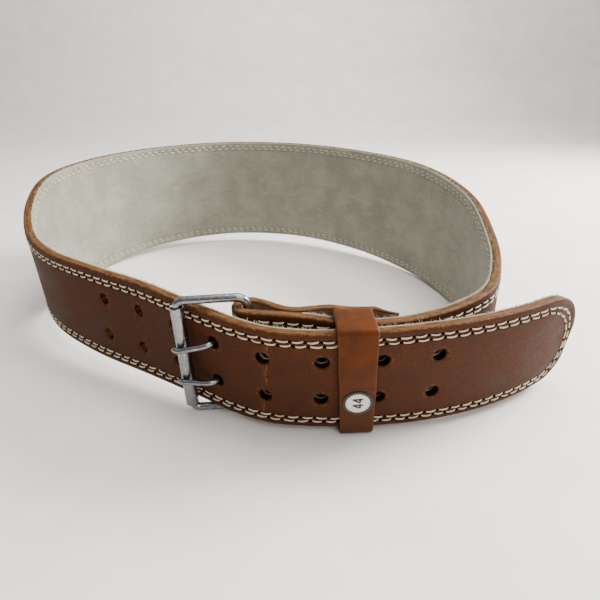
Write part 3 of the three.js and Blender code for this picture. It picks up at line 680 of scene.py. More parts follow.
def new_object(name, points, faces, materials, indices=None, marks=None):
    """A mesh object in the part's frame, from points in the belt's own millimetres."""
    mesh = bpy.data.meshes.new(name)
    mesh.from_pydata(in_part(points).tolist(), [], faces)
    for material in materials:
        mesh.materials.append(material)
    if indices is not None:
        mesh.polygons.foreach_set("material_index", indices)
    mesh.polygons.foreach_set("use_smooth", [True] * len(mesh.polygons))
    if marks is not None:
        corners = np.zeros(len(mesh.loops), int)
        mesh.loops.foreach_get("vertex_index", corners)
        for layer, columns in (("strap", (0, 1)), ("border", (2, 3))):
            uv = mesh.uv_layers.new(name=layer)
            uv.data.foreach_set("uv", np.array(marks, float)[corners][:, columns].ravel())
    mesh.validate()
    mesh.update()
    made = bpy.data.objects.new(name, mesh)
    bpy.context.scene.collection.objects.link(made)
    return made


def dress(piece, slot, *nodes):
    """Gives a piece its body and the nodes that it replaces. Its slot is not used."""
    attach(piece, "root")
    if nodes:
        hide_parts(*nodes)
    return piece


def spaced(start, end, step):
    """Even steps of about a length from start, up to but without the end."""
    count = max(round((end - start) / step), 1)
    return [start + (end - start) * i / count for i in range(count)]


def layer_places(path, start, end, slots):
    """Distances along a layer at which it has a ring: close at the tip, the holes, the slots and the fold."""
    marks = {start, end}
    for inset in (0.12, 0.45, 0.9, 1.5):
        marks |= {start + inset, end - inset}
    tip = TIP_UPPER[0]
    marks |= {start + 1.5 + (tip - 1.5) * (1 - math.cos(math.pi / 2 * i / 14)) for i in range(15)}
    first = FIRST_HOLE - HOLE_BORDER
    marks |= set(spaced(start + tip, first, 3))
    for pair in range(HOLE_PAIRS):
        centre = FIRST_HOLE + pair * HOLE_PITCH
        marks |= {centre + HOLE_BORDER * share for share in (-1, -0.5, 0, 0.5, 1)}
        marks |= set(spaced(centre + HOLE_BORDER, centre + HOLE_PITCH - HOLE_BORDER, 4))
    last = FIRST_HOLE + HOLE_PAIRS * HOLE_PITCH - HOLE_BORDER
    if slots:
        slots_start, slots_end = slots
        marks |= set(spaced(last, slots_start, 4)) | {slots_start}
        marks |= set(spaced(loop.length, loop.length + fold_length, 1.7))
        marks |= {loop.length + fold_length, slots_end}
        marks |= set(spaced(slots_end, end - 1.5, 3))
    else:
        marks |= set(spaced(last, end - 1.5, 4))
    places = sorted(marks)
    return [place for i, place in enumerate(places) if i == 0 or place - places[i - 1] > 0.05]


def face_rows(path, places, inset, rounding, slots):
    """Heights of the rows of points across a face, from the lower edge to the upper one, at every place."""
    low, high = edges_at(path, places, inset)
    low, high = low + rounding, high - rounding
    by_hole = [HOLE_ROWS / 2 + HOLE_BORDER * share for share in (-1, -0.5, 0, 0.5, 1)]
    fixed = [*(-row for row in reversed(by_hole)), 0, *by_hole]
    rows = []
    for count, step in enumerate((1.4, 2.8, 4.4, 6, 7.6), 1):
        rows.append(low + np.minimum(step, (high - low) * 0.2 * count / 5))
    lowest = rows[-1]
    highest = high - (lowest - low)
    rows = [low, *rows]
    rows += [lowest + (fixed[0] - lowest) * share for share in (1 / 3, 2 / 3)]
    rows += [np.full_like(places, row) for row in fixed]
    rows += [fixed[-1] + (highest - fixed[-1]) * share for share in (1 / 3, 2 / 3)]
    rows += [high - (row - low) for row in reversed(rows[:6])]
    rows = np.array(rows)
    # At the tip the rows share out what room there is.
    normal = int(np.searchsorted(places, 75))
    shares = (rows[:, normal] - low[normal]) / (high[normal] - low[normal])
    tip = low + shares[:, None] * (high - low)
    settle = smooth(places, 34, 74)
    rows = tip + (rows - tip) * settle
    if slots:
        half = PRONG / 2 + SLOT_PLAY
        near_slot = smooth(places, slots[0] - 12, slots[0])
        for side, (lower, middle, upper) in ((-1, (9, 10, 11)), (1, (15, 16, 17))):
            centre = prong_heights[side]
            for row, target in ((lower, centre - half), (middle, centre), (upper, centre + half)):
                rows[row] += (target - rows[row]) * near_slot
    return rows


def outline_distance(path, places, ups, inset):
    """How far points of a face lie from its outline, in millimetres."""
    low, high = edges_at(path, places, inset)
    distance = np.minimum(high - ups, ups - low)
    along = TIP_UPPER[0] * (1 - np.cos(np.linspace(0, math.pi / 2, 60)))
    along = np.concatenate((inset + along, inset + np.linspace(37, 90, 40)))
    lower, upper = edges_at(path, along, inset)
    end = np.linspace(lower[0], upper[0], 12)
    outline = np.concatenate((np.stack((along, lower), -1), np.stack((along, upper), -1),
                              np.stack((np.full(12, inset), end), -1)))
    near = places < 75
    offsets = np.stack((places[near], ups[near]), -1)[:, None] - outline[None]
    distance[near] = np.sqrt((offsets**2).sum(-1)).min(-1)
    return np.maximum(distance, 0)


def layer_mesh(name, path, start, end, face, thickness, inset, rounding, inner_rounding, materials,
               slots=None, radius=HOLE_DIAMETER / 2):
    """A long layer of the strap: rounded edges, two faces of rows, round holes and slots with their walls.
    Materials are for the outer face with its edges, and for the inner face."""
    places = np.array(layer_places(path, start, end, slots))
    rows = face_rows(path, places, inset, rounding, slots)
    low, high = edges_at(path, places, inset)
    deep = np.array([thickness(place) for place in places])
    outer = np.minimum(rounding, deep * 0.45)
    inner = np.minimum(inner_rounding, deep * 0.3)

    # The ends are rounded as the edges are.
    to_end = np.minimum(places - start, end - places)
    cap = outer - np.sqrt(np.maximum(outer**2 - np.maximum(outer - to_end, 0) ** 2, 0))
    inner_cap = inner - np.sqrt(np.maximum(inner**2 - np.maximum(inner - to_end, 0) ** 2, 0))

    ring = []
    for row in rows:
        ring.append((-cap, row, 0))
    bend = [(outer * (1 - math.cos(turn)), outer * math.sin(turn)) for turn in (0.4, 0.8, 1.2)]
    for inward, sideways in bend:
        ring.append((-np.maximum(inward, cap), high - outer + sideways, 0.15))
    ring.append((-outer, high, 0.85))
    ring.append((-(outer + deep - inner) / 2, high, 0.95))
    ring.append((-deep + inner, high, 1.05))
    ring.append((-deep + inner * 0.3, high - inner * 0.3, 1.1))
    for row in rows[::-1]:
        ring.append((-deep + inner_cap, row, 0))
    ring.append((-deep + inner * 0.3, low + inner * 0.3, 1.1))
    ring.append((-deep + inner, low, 1.05))
    ring.append((-(outer + deep - inner) / 2, low, 0.95))
    ring.append((-outer, low, 0.85))
    for inward, sideways in reversed(bend):
        ring.append((-np.maximum(inward, cap), low + outer - sideways, 0.15))

    columns, corners = len(places), len(ring)
    outs = np.array([out for out, _, _ in ring]).T + face
    ups = np.array([up for _, up, _ in ring]).T
    kinds = np.tile([kind for _, _, kind in ring], (columns, 1))
    along = np.tile(places[:, None], (1, corners))
    flat = np.stack((along.ravel(), ups.ravel(), outs.ravel(), kinds.ravel()), -1)

    def index(column, corner):
        return column * corners + corner % corners

    last_row = len(rows) - 1
    inner_start = last_row + 8

    def outer_index(column, row):
        return index(column, row)

    def inner_index(column, row):
        return index(column, inner_start + last_row - row)

    skipped = set()
    extra = []
    faces = []
    indices = []

    def put(face_indices, material):
        faces.append(face_indices)
        indices.append(material)

    def block(first, last, lower, upper):
        for column in range(first, last):
            for row in range(lower, upper):
                skipped.add((column, row))
                skipped.add((column, inner_start + last_row - row - 1))

    def border_of(first, last, lower, upper):
        steps = [(column, lower) for column in range(first, last)]
        steps += [(last, row) for row in range(lower, upper)]
        steps += [(column, upper) for column in range(last, first, -1)]
        steps += [(first, row) for row in range(upper, lower, -1)]
        return steps

    def column_at(place):
        return int(abs(places - place).argmin())

    if slots:
        first, last = column_at(slots[0]), column_at(slots[1])
        for lower, upper in ((9, 11), (15, 17)):
            block(first, last, lower, upper)
            steps = border_of(first, last, lower, upper)
            for i, here in enumerate(steps):
                ahead = steps[(i + 1) % len(steps)]
                put((outer_index(*here), outer_index(*ahead), inner_index(*ahead), inner_index(*here)), 0)

    # Each hole is a ring of points round a circle inside a square of the faces' rows.
    sides = 32
    turns = 2 * math.pi * np.arange(sides) / sides
    count = len(flat)
    for pair in range(HOLE_PAIRS):
        centre = FIRST_HOLE + pair * HOLE_PITCH
        first, last = column_at(centre - HOLE_BORDER), column_at(centre + HOLE_BORDER)
        depth = thickness(centre)
        for lower, middle in ((8, 10), (14, 16)):
            upper = lower + 4
            block(first, last, lower, upper)
            height = rows[middle][column_at(centre)]
            steps = border_of(first, last, lower, upper)
            # The border starts at its lower left corner, 225 degrees round.
            profile = [(radius + 1.3, 0, 0), (radius + 0.55, -0.1, 0), (radius + 0.12, -0.4, 0.6),
                       (radius, -0.8, 2), (radius, -depth + 0.35, 2), (radius + 0.2, -depth + 0.05, 1),
                       (radius + 1.2, -depth, 0)]
            circles = []
            for reach_out, out, kind in profile:
                out = max(out, -depth)
                circle = np.stack((centre + reach_out * np.cos(turns + 1.25 * math.pi),
                                   height + reach_out * np.sin(turns + 1.25 * math.pi),
                                   np.full(sides, face + out), np.full(sides, kind)), -1)
                extra.append(circle)
                circles.append([count + i for i in range(sides)])
                count += sides
            for border, circle, turned_round, material in (
                    ([outer_index(*step) for step in steps], circles[0], False, 0),
                    ([inner_index(*step) for step in steps], circles[-1], True, 1)):
                for i in range(16):
                    here, ahead = border[i], border[(i + 1) % 16]
                    a, b, c = circle[2 * i], circle[2 * i + 1], circle[(2 * i + 2) % sides]
                    for triangle in ((here, b, a), (here, ahead, b), (ahead, c, b)):
                        put(triangle[::-1] if turned_round else triangle, material)
            for upper_circle, lower_circle in zip(circles, circles[1:]):
                for i in range(sides):
                    n = (i + 1) % sides
                    put((upper_circle[i], upper_circle[n], lower_circle[n], lower_circle[i]), 0)

    for column in range(columns - 1):
        for corner in range(corners):
            if (column, corner) in skipped:
                continue
            material = 1 if inner_start <= corner < inner_start + last_row else 0
            put((index(column, corner), index(column + 1, corner), index(column + 1, corner + 1),
                 index(column, corner + 1)), material)
    put(tuple(range(corners)), 0)
    put(tuple((columns - 1) * corners + corner for corner in reversed(range(corners))), 0)

    flat = np.concatenate([flat, *extra])
    distance = outline_distance(path, flat[:, 0], flat[:, 1], inset)
    distance = np.where(flat[:, 3] >= 2, 0.02, distance)
    marks = np.stack((flat[:, 0] / 1000, flat[:, 1] / 1000, distance / 1000, flat[:, 3]), -1)
    points = path.points(flat[:, 0], flat[:, 2], flat[:, 1])
    return outward_facing(new_object(name, points, faces, materials, indices, marks))


def outward_facing(piece):
    """Turns a closed mesh's faces outwards."""
    work = bmesh.new()
    work.from_mesh(piece.data)
    bmesh.ops.recalc_face_normals(work, faces=work.faces)
    work.to_mesh(piece.data)
    work.free()
    return piece


def flap_thickness(place):
    """The strap's thickness at a place along it: even up to the flap, which is thinned towards its end."""
    back = place - (whole.length - FLAP_LENGTH)
    return LEATHER + (FLAP_END - LEATHER) * float(smooth(back, FLAP_LENGTH - FLAP_SKIVE, FLAP_LENGTH))


def wire_mesh(name, route, diameter, material, sides=20, rounded=True):
    """A round wire along points, with rounded ends unless they are hidden."""
    route = np.array(route, float)
    distance = np.concatenate(([0], np.cumsum(np.linalg.norm(np.diff(route, axis=0), axis=1))))
    count = max(int(distance[-1] / 0.55), 8)
    steps = np.linspace(0, distance[-1], count)
    middle = np.stack([np.interp(steps, distance, column) for column in route.T], -1)
    ahead = np.gradient(middle, axis=0)
    ahead /= np.linalg.norm(ahead, axis=1)[:, None]
    # A frame that turns with the wire and never twists round it.
    side = np.cross(ahead[0], (0.3, 0.2, 0.9))
    side /= np.linalg.norm(side)
    points = []
    radius = diameter / 2
    for i in range(count):
        side = side - ahead[i] * (side @ ahead[i])
        side /= np.linalg.norm(side)
        other = np.cross(ahead[i], side)
        to_end = min(steps[i], steps[-1] - steps[i])
        size = radius
        if rounded and to_end < radius * 0.8:
            size = radius * (0.35 + 0.65 * math.sqrt(max(1 - (1 - to_end / (radius * 0.8)) ** 2, 0)))
        for turn in 2 * math.pi * np.arange(sides) / sides:
            points.append(middle[i] + size * (math.cos(turn) * side + math.sin(turn) * other))
    faces = []
    for i in range(count - 1):
        for k in range(sides):
            n = (k + 1) % sides
            faces.append((i * sides + k, i * sides + n, (i + 1) * sides + n, (i + 1) * sides + k))
    faces.append(tuple(reversed(range(sides))))
    faces.append(tuple((count - 1) * sides + k for k in range(sides)))
    return outward_facing(new_object(name, points, faces, [material]))


def curve_through(points, steps=12):
    """A smooth run through points, with an even bend at each."""
    points = np.array(points, float)
    ends = np.concatenate(([2 * points[0] - points[1]], points, [2 * points[-1] - points[-2]]))
    run = []
    for i in range(1, len(ends) - 2):
        a, b, c, d = ends[i - 1:i + 3]
        for t in np.arange(steps) / steps:
            run.append(0.5 * (2 * b + (c - a) * t + (2 * a - 5 * b + 4 * c - d) * t**2
                              + (3 * b - a - 3 * c + d) * t**3))
    run.append(points[-1])
    return np.array(run)


def edge_run(name, runs, outs):
    """An object of open runs of points, each point with the direction that faces away from the strap."""
    points, edges, directions = [], [], []
    for run, facing in runs:
        start = len(points)
        points.extend(run)
        directions.extend(facing)
        edges.extend((start + i, start + i + 1) for i in range(len(run) - 1))
    mesh = bpy.data.meshes.new(name)
    mesh.from_pydata(in_part(points).tolist(), edges, [])
    attribute = mesh.attributes.new("facing", "FLOAT_VECTOR", "POINT")
    attribute.data.foreach_set("vector", (turned(directions) * outs).ravel())
    made = bpy.data.objects.new(name, mesh)
    bpy.context.scene.collection.objects.link(made)
    return made


def stitch_run(path, inset, start, end, out, around_tip=True):
    """The runs of one row of stitches, along the upper edge and the lower edge, both towards the tip."""
    if around_tip:
        tip = inset + TIP_UPPER[0] * (1 - np.cos(np.linspace(0, math.pi / 2, 40)))
        along = np.concatenate((tip, np.array(spaced(inset + TIP_UPPER[0], end, 3) + [end])[1:]))
    else:
        along = np.array(spaced(start, end, 3) + [end])
    low, high = edges_at(path, along, inset)
    open_here = high - low > 1
    along, low, high = along[open_here], low[open_here], high[open_here]
    runs = []
    for edge in (high, low):
        places, ups = along[::-1], edge[::-1]
        if around_tip:
            middle = (high[0] + low[0]) / 2
            places, ups = np.append(places, along[0] - 0.05), np.append(ups, middle)
        runs.append((places, ups))
    made = []
    for places, ups in runs:
        here = path.at(places)
        facing = np.stack((here["out"][:, 0] * np.cos(here["lean"]), here["out"][:, 1] * np.cos(here["lean"]),
                           -np.sin(here["lean"])), -1)
        made.append((path.points(places, out, ups), facing))
    return made


def repeat_tree(name, material):
    """Geometry Nodes that set a small shape at even steps along runs of edges, facing away from the strap."""
    tree = bpy.data.node_groups.new(name, "GeometryNodeTree")
    tree.interface.new_socket("Geometry", in_out="INPUT", socket_type="NodeSocketGeometry")
    tree.interface.new_socket("Geometry", in_out="OUTPUT", socket_type="NodeSocketGeometry")
    for label, kind in (("Shape", "NodeSocketObject"), ("Spacing", "NodeSocketFloat"),
                        ("Size", "NodeSocketVector"), ("Spread", "NodeSocketVector"),
                        ("Unevenness", "NodeSocketFloat"), ("Seed", "NodeSocketInt")):
        tree.interface.new_socket(label, in_out="INPUT", socket_type=kind)
    node = functools.partial(add, tree)
    given = node("NodeGroupInput").node.outputs
    curve = node("GeometryNodeMeshToCurve", given["Geometry"])
    spots = node("GeometryNodeCurveToPoints", sockets={"Curve": curve, "Length": given["Spacing"]},
                 mode="LENGTH").node.outputs
    facing = node("GeometryNodeInputNamedAttribute", "facing", data_type="FLOAT_VECTOR")
    along = node("FunctionNodeAlignRotationToVector", sockets={"Vector": spots["Tangent"]}, axis="X")
    upright_turn = node("FunctionNodeAlignRotationToVector", sockets={"Rotation": along, "Vector": facing},
                        axis="Z", pivot_axis="X")
    least = node("scaled", given["Spread"], -1.0)
    loose = node("FunctionNodeRandomValue", least, given["Spread"], sockets={"Seed": given["Seed"]},
                 data_type="FLOAT_VECTOR")
    turn = node("FunctionNodeRotateRotation", upright_turn, node("FunctionNodeEulerToRotation", loose),
                rotation_space="LOCAL")
    small = node("subtract", 1.0, given["Unevenness"])
    large = node("add", 1.0, given["Unevenness"])
    other_seed = node("add", given["Seed"], 7.0)
    factor = node("FunctionNodeRandomValue", sockets={2: small, 3: large, "Seed": other_seed},
                  data_type="FLOAT").node.outputs[1]
    scale = node("scaled", given["Size"], factor)
    shape = node("GeometryNodeObjectInfo", sockets={"Object": given["Shape"]},
                 transform_space="ORIGINAL").node
    placed = node("GeometryNodeInstanceOnPoints",
                  sockets={"Points": spots[0], "Instance": shape.outputs["Geometry"], "Rotation": turn,
                           "Scale": scale})
    real = node("GeometryNodeRealizeInstances", placed)
    done = node("GeometryNodeSetMaterial", sockets={"Geometry": real, "Material": material})
    node("NodeGroupOutput", done)
    return tree


def repeated(name, runs, outs, shape, material, spacing, size, spread, unevenness, seed):
    """Runs the repeating tree and keeps its result as a plain mesh. Spacing and size are in metres."""
    source = edge_run(name + "_run", runs, outs)
    tree = repeat_tree(name + " along the edges", material)
    modifier = source.modifiers.new("Repeat", "NODES")
    modifier.node_group = tree
    values = {"Shape": shape, "Spacing": spacing, "Size": size, "Spread": spread, "Unevenness": unevenness,
              "Seed": seed}
    for item in tree.interface.items_tree:
        if item.item_type == "SOCKET" and item.in_out == "INPUT" and item.name in values:
            modifier[item.identifier] = values[item.name]
    bpy.context.view_layer.update()
    evaluated = source.evaluated_get(bpy.context.evaluated_depsgraph_get())
    mesh = bpy.data.meshes.new_from_object(evaluated)
    mesh.name = name
    made = bpy.data.objects.new(name, mesh)
    bpy.context.scene.collection.objects.link(made)
    source.modifiers.remove(modifier)
    bpy.data.objects.remove(source)
    bpy.data.objects.remove(shape)
    if not len(mesh.polygons):
        raise RuntimeError(f"{name} came out empty")
    mesh.polygons.foreach_set("use_smooth", [True] * len(mesh.polygons))
    return made


def small_shape(name, rings, sides):
    """A small closed shape of unit size from rings of (x, y, z, width, height)."""
    points, faces = [], []
    for x, y, z, width, height in rings:
        for turn in 2 * math.pi * np.arange(sides) / sides:
            points.append((x, y + width / 2 * math.cos(turn), z + height / 2 * math.sin(turn)))
    for i in range(len(rings) - 1):
        for k in range(sides):
            n = (k + 1) % sides
            faces.append((i * sides + k, (i + 1) * sides + k, (i + 1) * sides + n, i * sides + n))
    faces.append(tuple(range(sides)))
    faces.append(tuple((len(rings) - 1) * sides + k for k in reversed(range(sides))))
    mesh = bpy.data.meshes.new(name)
    mesh.from_pydata(points, [], faces)
    made = bpy.data.objects.new(name, mesh)
    bpy.context.scene.collection.objects.link(made)
    return outward_facing(made)


def stitch_shape():
    """One stitch: a short thread that dives into the leather at both ends and sags a little between."""
    rings = [(-0.5, 0.05, -0.6, 0.55, 0.5), (-0.44, 0, 0, 0.9, 0.85), (-0.27, -0.16, 0.3, 1.05, 1),
             (-0.02, -0.24, 0.4, 1.1, 1.05), (0.22, -0.12, 0.36, 1.05, 1), (0.4, 0.14, 0.1, 0.95, 0.9),
             (0.5, 0.3, -0.6, 0.55, 0.5)]
    return small_shape("stitch", rings, 6)


def needle_shape():
    """The dimple that the needle leaves at each end of a stitch."""
    rings = [(-0.5, 0, -0.3, 0.4, 0.6), (-0.25, 0, 0, 0.9, 0.6), (0.25, 0, 0, 0.9, 0.6),
             (0.5, 0, -0.3, 0.4, 0.6)]
    return small_shape("needle_hole", rings, 6)


def fibre_shape():
    """One loose fibre, standing up and curling over."""
    points = [(-0.08, 0, -0.1), (0.08, 0, -0.1), (0, 0.1, -0.1), (-0.04, 0.1, 0.45), (0.1, 0.1, 0.45),
              (0.03, 0.18, 0.45), (0.12, 0.42, 0.85)]
    faces = [(0, 1, 4, 3), (1, 2, 5, 4), (2, 0, 3, 5), (3, 4, 6), (4, 5, 6), (5, 3, 6), (2, 1, 0)]
    mesh = bpy.data.meshes.new("fibre")
    mesh.from_pydata(points, [], faces)
    made = bpy.data.objects.new("fibre", mesh)
    bpy.context.scene.collection.objects.link(made)
    return outward_facing(made)


# The pieces.

class BELT_OT_strap(bpy.types.Operator):
    """Makes the strap: one long leather with rounded edges, eight pairs of holes and two prong slots"""
    bl_idname = "belt.strap"
    bl_label = "Strap"

    def execute(self, context):
        sizes, colours = context.scene.belt_sizes, context.scene.belt_colours
        eye = WIRE / 2 + PRONG_PLAY + PRONG + SLOT_PLAY
        piece = layer_mesh("strap_leather", whole, 0, whole.length, 0, flap_thickness, 0,
                           sizes.edge_round * 1000, 0.6, [grain_leather(colours), flesh_leather(colours)],
                           (loop.length - eye, loop.length + fold_length + eye))
        dress(piece, "strap_leather", "strap")
        return {"FINISHED"}


class BELT_OT_lining(bpy.types.Operator):
    """Makes the suede lining, with the holes through it"""
    bl_idname = "belt.lining"
    bl_label = "Lining"

    def execute(self, context):
        colours = context.scene.belt_colours
        nap = suede(colours)
        piece = layer_mesh("suede_lining", loop, LINING_INSET, loop.length - LINING_STOP,
                           -LEATHER - SEAT_GAP + 0.1, lambda place: LINING + 0.1, LINING_INSET, 0.25, 0.4,
                           [nap, nap])
        dress(piece, "suede", "lining")
        return {"FINISHED"}


class BELT_OT_stitches(bpy.types.Operator):
    """Sews the two rows of stitches along both edges, outside and on the lining"""
    bl_idname = "belt.stitches"
    bl_label = "Stitches"

    def execute(self, context):
        sizes, colours = context.scene.belt_sizes, context.scene.belt_colours
        thread = waxed_thread("waxed cotton thread", colours.thread)
        dull = waxed_thread("waxed thread in the nap", "#b7b39f")
        rows = [sizes.outer_row * 1000, (sizes.outer_row + sizes.row_spacing) * 1000]
        fastened = loop.length - 10
        outside, holes, inside = [], [], []
        for inset in rows:
            outside += stitch_run(whole, inset, 0, fastened, 0.02)
            outside += stitch_run(whole, inset, loop.length + fold_length + 8, whole.length - 6, 0.02, False)
            inside += stitch_run(loop, inset, 0, loop.length - LINING_STOP - 3, -STRAP + 0.05)
        # The needle holes lie half a pitch on from the stitches' middles.
        pitch = sizes.stitch_pitch
        for run, facing in outside:
            steps = np.linalg.norm(np.diff(run, axis=0), axis=1)
            distance = np.concatenate(([0], np.cumsum(steps)))
            half = pitch / 2 * 1000
            keep = (distance > half) & (distance < distance[-1] - half)
            first, last = (np.array([[np.interp(place, distance, column) for column in np.array(run).T]])
                           for place in (half, distance[-1] - half))
            holes.append((np.concatenate((first, run[keep], last)),
                          np.concatenate((facing[:1], facing[keep], facing[-1:]))))
        size = (sizes.stitch_length, sizes.thread, sizes.thread * 0.62)
        piece = repeated("stitches_outside", outside, 1, stitch_shape(), thread, pitch, size,
                         (0.09, 0.05, 0.12), 0.1, 3)
        dress(piece, "strap_leather")
        # The needle holes are small near-black shapes of painted shade.
        piece = repeated("needle_holes", holes, 1, needle_shape(), needle_hole_shade(), pitch,
                         (pitch - sizes.stitch_length + 0.0006, 0.0015, 0.0006), (0, 0, 0.1), 0.15, 4)
        dress(piece, "strap_leather")
        piece = repeated("stitches_lining", inside, -1, stitch_shape(), dull, pitch,
                         (sizes.stitch_length * 0.82, sizes.thread * 1.3, sizes.thread * 0.9),
                         (0.05, 0.05, 0.3), 0.12, 5)
        dress(piece, "suede")
        return {"FINISHED"}


class BELT_OT_fringe(bpy.types.Operator):
    """Frays the lining's two long edges with short loose fibres"""
    bl_idname = "belt.fringe"
    bl_label = "Loose fibres"

    def execute(self, context):
        sizes = context.scene.belt_sizes
        places = np.array(spaced(4, loop.length - LINING_STOP, 2))
        low, high = edges_at(loop, places, LINING_INSET + 0.1)
        here = loop.at(places)
        up = np.stack((here["out"][:, 0] * np.sin(here["lean"]), here["out"][:, 1] * np.sin(here["lean"]),
                       np.cos(here["lean"])), -1)
        runs = []
        for out in (-LEATHER - SEAT_GAP - 0.25, -STRAP + 0.3):
            runs.append((loop.points(places, out, high), up))
            lower = loop.points(places, out, low)
            clear = in_part(lower)[:, 2] > 2 * sizes.fibre
            ends = np.flatnonzero(np.diff(clear.astype(int))) + 1
            for group in np.split(np.arange(len(places)), ends):
                if clear[group[0]] and len(group) > 1:
                    runs.append((lower[group], -up[group]))
        fibre = sizes.fibre
        piece = repeated("suede_fibres", runs, 1, fibre_shape(), loose_fibre(), 0.00085,
                         (fibre * 0.9, fibre * 0.9, fibre), (0.6, 0.6, 1.5), 0.85, 11)
        dress(piece, "suede")
        return {"FINISHED"}


class BELT_OT_keeper(bpy.types.Operator):
    """Makes the keeper: a loop of thinner leather round the tongue and the strap behind it"""
    bl_idname = "belt.keeper"
    bl_label = "Keeper"

    def execute(self, context):
        colours = context.scene.belt_colours
        front, back = KEEPER_PLAY, -keeper_depth
        bottom, top = in_keeper[0] - KEEPER_PLAY, in_keeper[1] + KEEPER_PLAY
        wall = KEEPER_LEATHER
        corner = KEEPER_CORNER - wall / 2
        left, right = back - wall / 2, front + wall / 2
        floor, roof = bottom - wall / 2, top + wall / 2
        # The loop's middle line, from the top of its front face down and round.
        line = []
        for x, y, first in ((right - corner, roof - corner, 90), (right - corner, floor + corner, 0),
                            (left + corner, floor + corner, -90), (left + corner, roof - corner, -180)):
            for turn in np.radians(np.linspace(first, first - 90, 9)):
                line.append((x + corner * math.cos(turn), y + corner * math.sin(turn)))
        full = []
        for i, here in enumerate(line):
            ahead = line[(i + 1) % len(line)]
            gap = math.dist(here, ahead)
            full += [tuple(np.array(here) + (np.array(ahead) - here) * s) for s in
                     np.arange(max(round(gap / 2.2), 1)) / max(round(gap / 2.2), 1)]
        full = np.array(full)
        steps = np.linalg.norm(np.roll(full, -1, 0) - full, axis=1)
        run = np.concatenate(([0], np.cumsum(steps)[:-1]))
        tangent = np.roll(full, -1, 0) - np.roll(full, 1, 0)
        tangent /= np.linalg.norm(tangent, axis=1)[:, None]
        normal = np.stack((-tangent[:, 1], tangent[:, 0]), -1)
        half, thick = KEEPER_WIDTH / 2, wall / 2
        # The section across the loop: rounded at its outer corners, and a little crowned.
        section = [(-half + 1.2, thick, 0), (-half * 0.6, thick + 0.03, 0), (-half * 0.3, thick + 0.08, 0),
                   (0, thick + 0.1, 0), (half * 0.3, thick + 0.08, 0), (half * 0.6, thick + 0.03, 0),
                   (half - 1.2, thick, 0), (half - 0.5, thick - 0.18, 0.1), (half - 0.12, thick - 0.6, 0.6),
                   (half, 0, 1), (half - 0.1, -thick + 0.4, 1), (half - 0.4, -thick, 1), (0, -thick, 1),
                   (-half + 0.4, -thick, 1), (-half + 0.1, -thick + 0.4, 1), (-half, 0, 1),
                   (-half + 0.12, thick - 0.6, 0.6), (-half + 0.5, thick - 0.18, 0.1)]
        points, marks = [], []
        out = np.array((*keeper_frame["out"], 0))
        ahead = np.array((*keeper_frame["ahead"], 0))
        up = up_of(keeper_frame["out"], keeper_frame["lean"])
        origin = np.array((keeper_frame["x"], keeper_frame["y"], 0))
        for place, (x, y), (nx, ny) in zip(run, full, normal):
            taper = 1 + KEEPER_TAPER * y / (FRONT_HEIGHT * KEEPER_WIDTH)
            wave = 0.12 * math.sin(place / 9) + 0.08 * math.sin(place / 3.7 + 1)
            for across, rise, kind in section:
                z = across * taper + wave + KEEPER_SKEW / FRONT_HEIGHT * y
                px, py = x + nx * rise, y + ny * rise
                points.append(origin + out * px + up * py + ahead * z)
                marks.append((place / 1000, across / 1000, max(half - abs(across), 0) / 1000, kind))
        columns, corners = len(full), len(section)
        faces = []
        for i in range(columns):
            for k in range(corners):
                n, j = (k + 1) % corners, (i + 1) % columns
                faces.append((i * corners + k, j * corners + k, j * corners + n, i * corners + n))
        piece = outward_facing(new_object("keeper_leather", points, faces, [keeper_leather(colours)],
                                          marks=marks))
        # Where the loop closes, the leather's own length runs on instead of jumping back to nought.
        around = float(run[-1] + steps[-1]) / 1000
        grain = piece.data.uv_layers["strap"].data
        for face in piece.data.polygons:
            first = [corner for corner in face.loop_indices if grain[corner].uv.x < around / 2]
            if 0 < len(first) < len(face.loop_indices) and max(
                    grain[corner].uv.x for corner in face.loop_indices) > around * 0.75:
                for corner in first:
                    grain[corner].uv.x += around
        dress(piece, "keeper_leather", "keeper_loop")
        return {"FINISHED"}


def on_keeper(points):
    """Points on the keeper's front: x to the right as seen from in front, y up and z out from its face."""
    out = np.array((*keeper_frame["out"], 0))
    ahead = np.array((*keeper_frame["ahead"], 0))
    up = up_of(keeper_frame["out"], keeper_frame["lean"])
    origin = np.array((keeper_frame["x"], keeper_frame["y"], 0))
    face = KEEPER_PLAY + KEEPER_LEATHER + SEAT_GAP
    made = []
    for x, y, z in points:
        height = y - LABEL_DROP
        along = KEEPER_SKEW / FRONT_HEIGHT * height - x
        made.append(origin + ahead * along + up * height + out * (face + z))
    return made


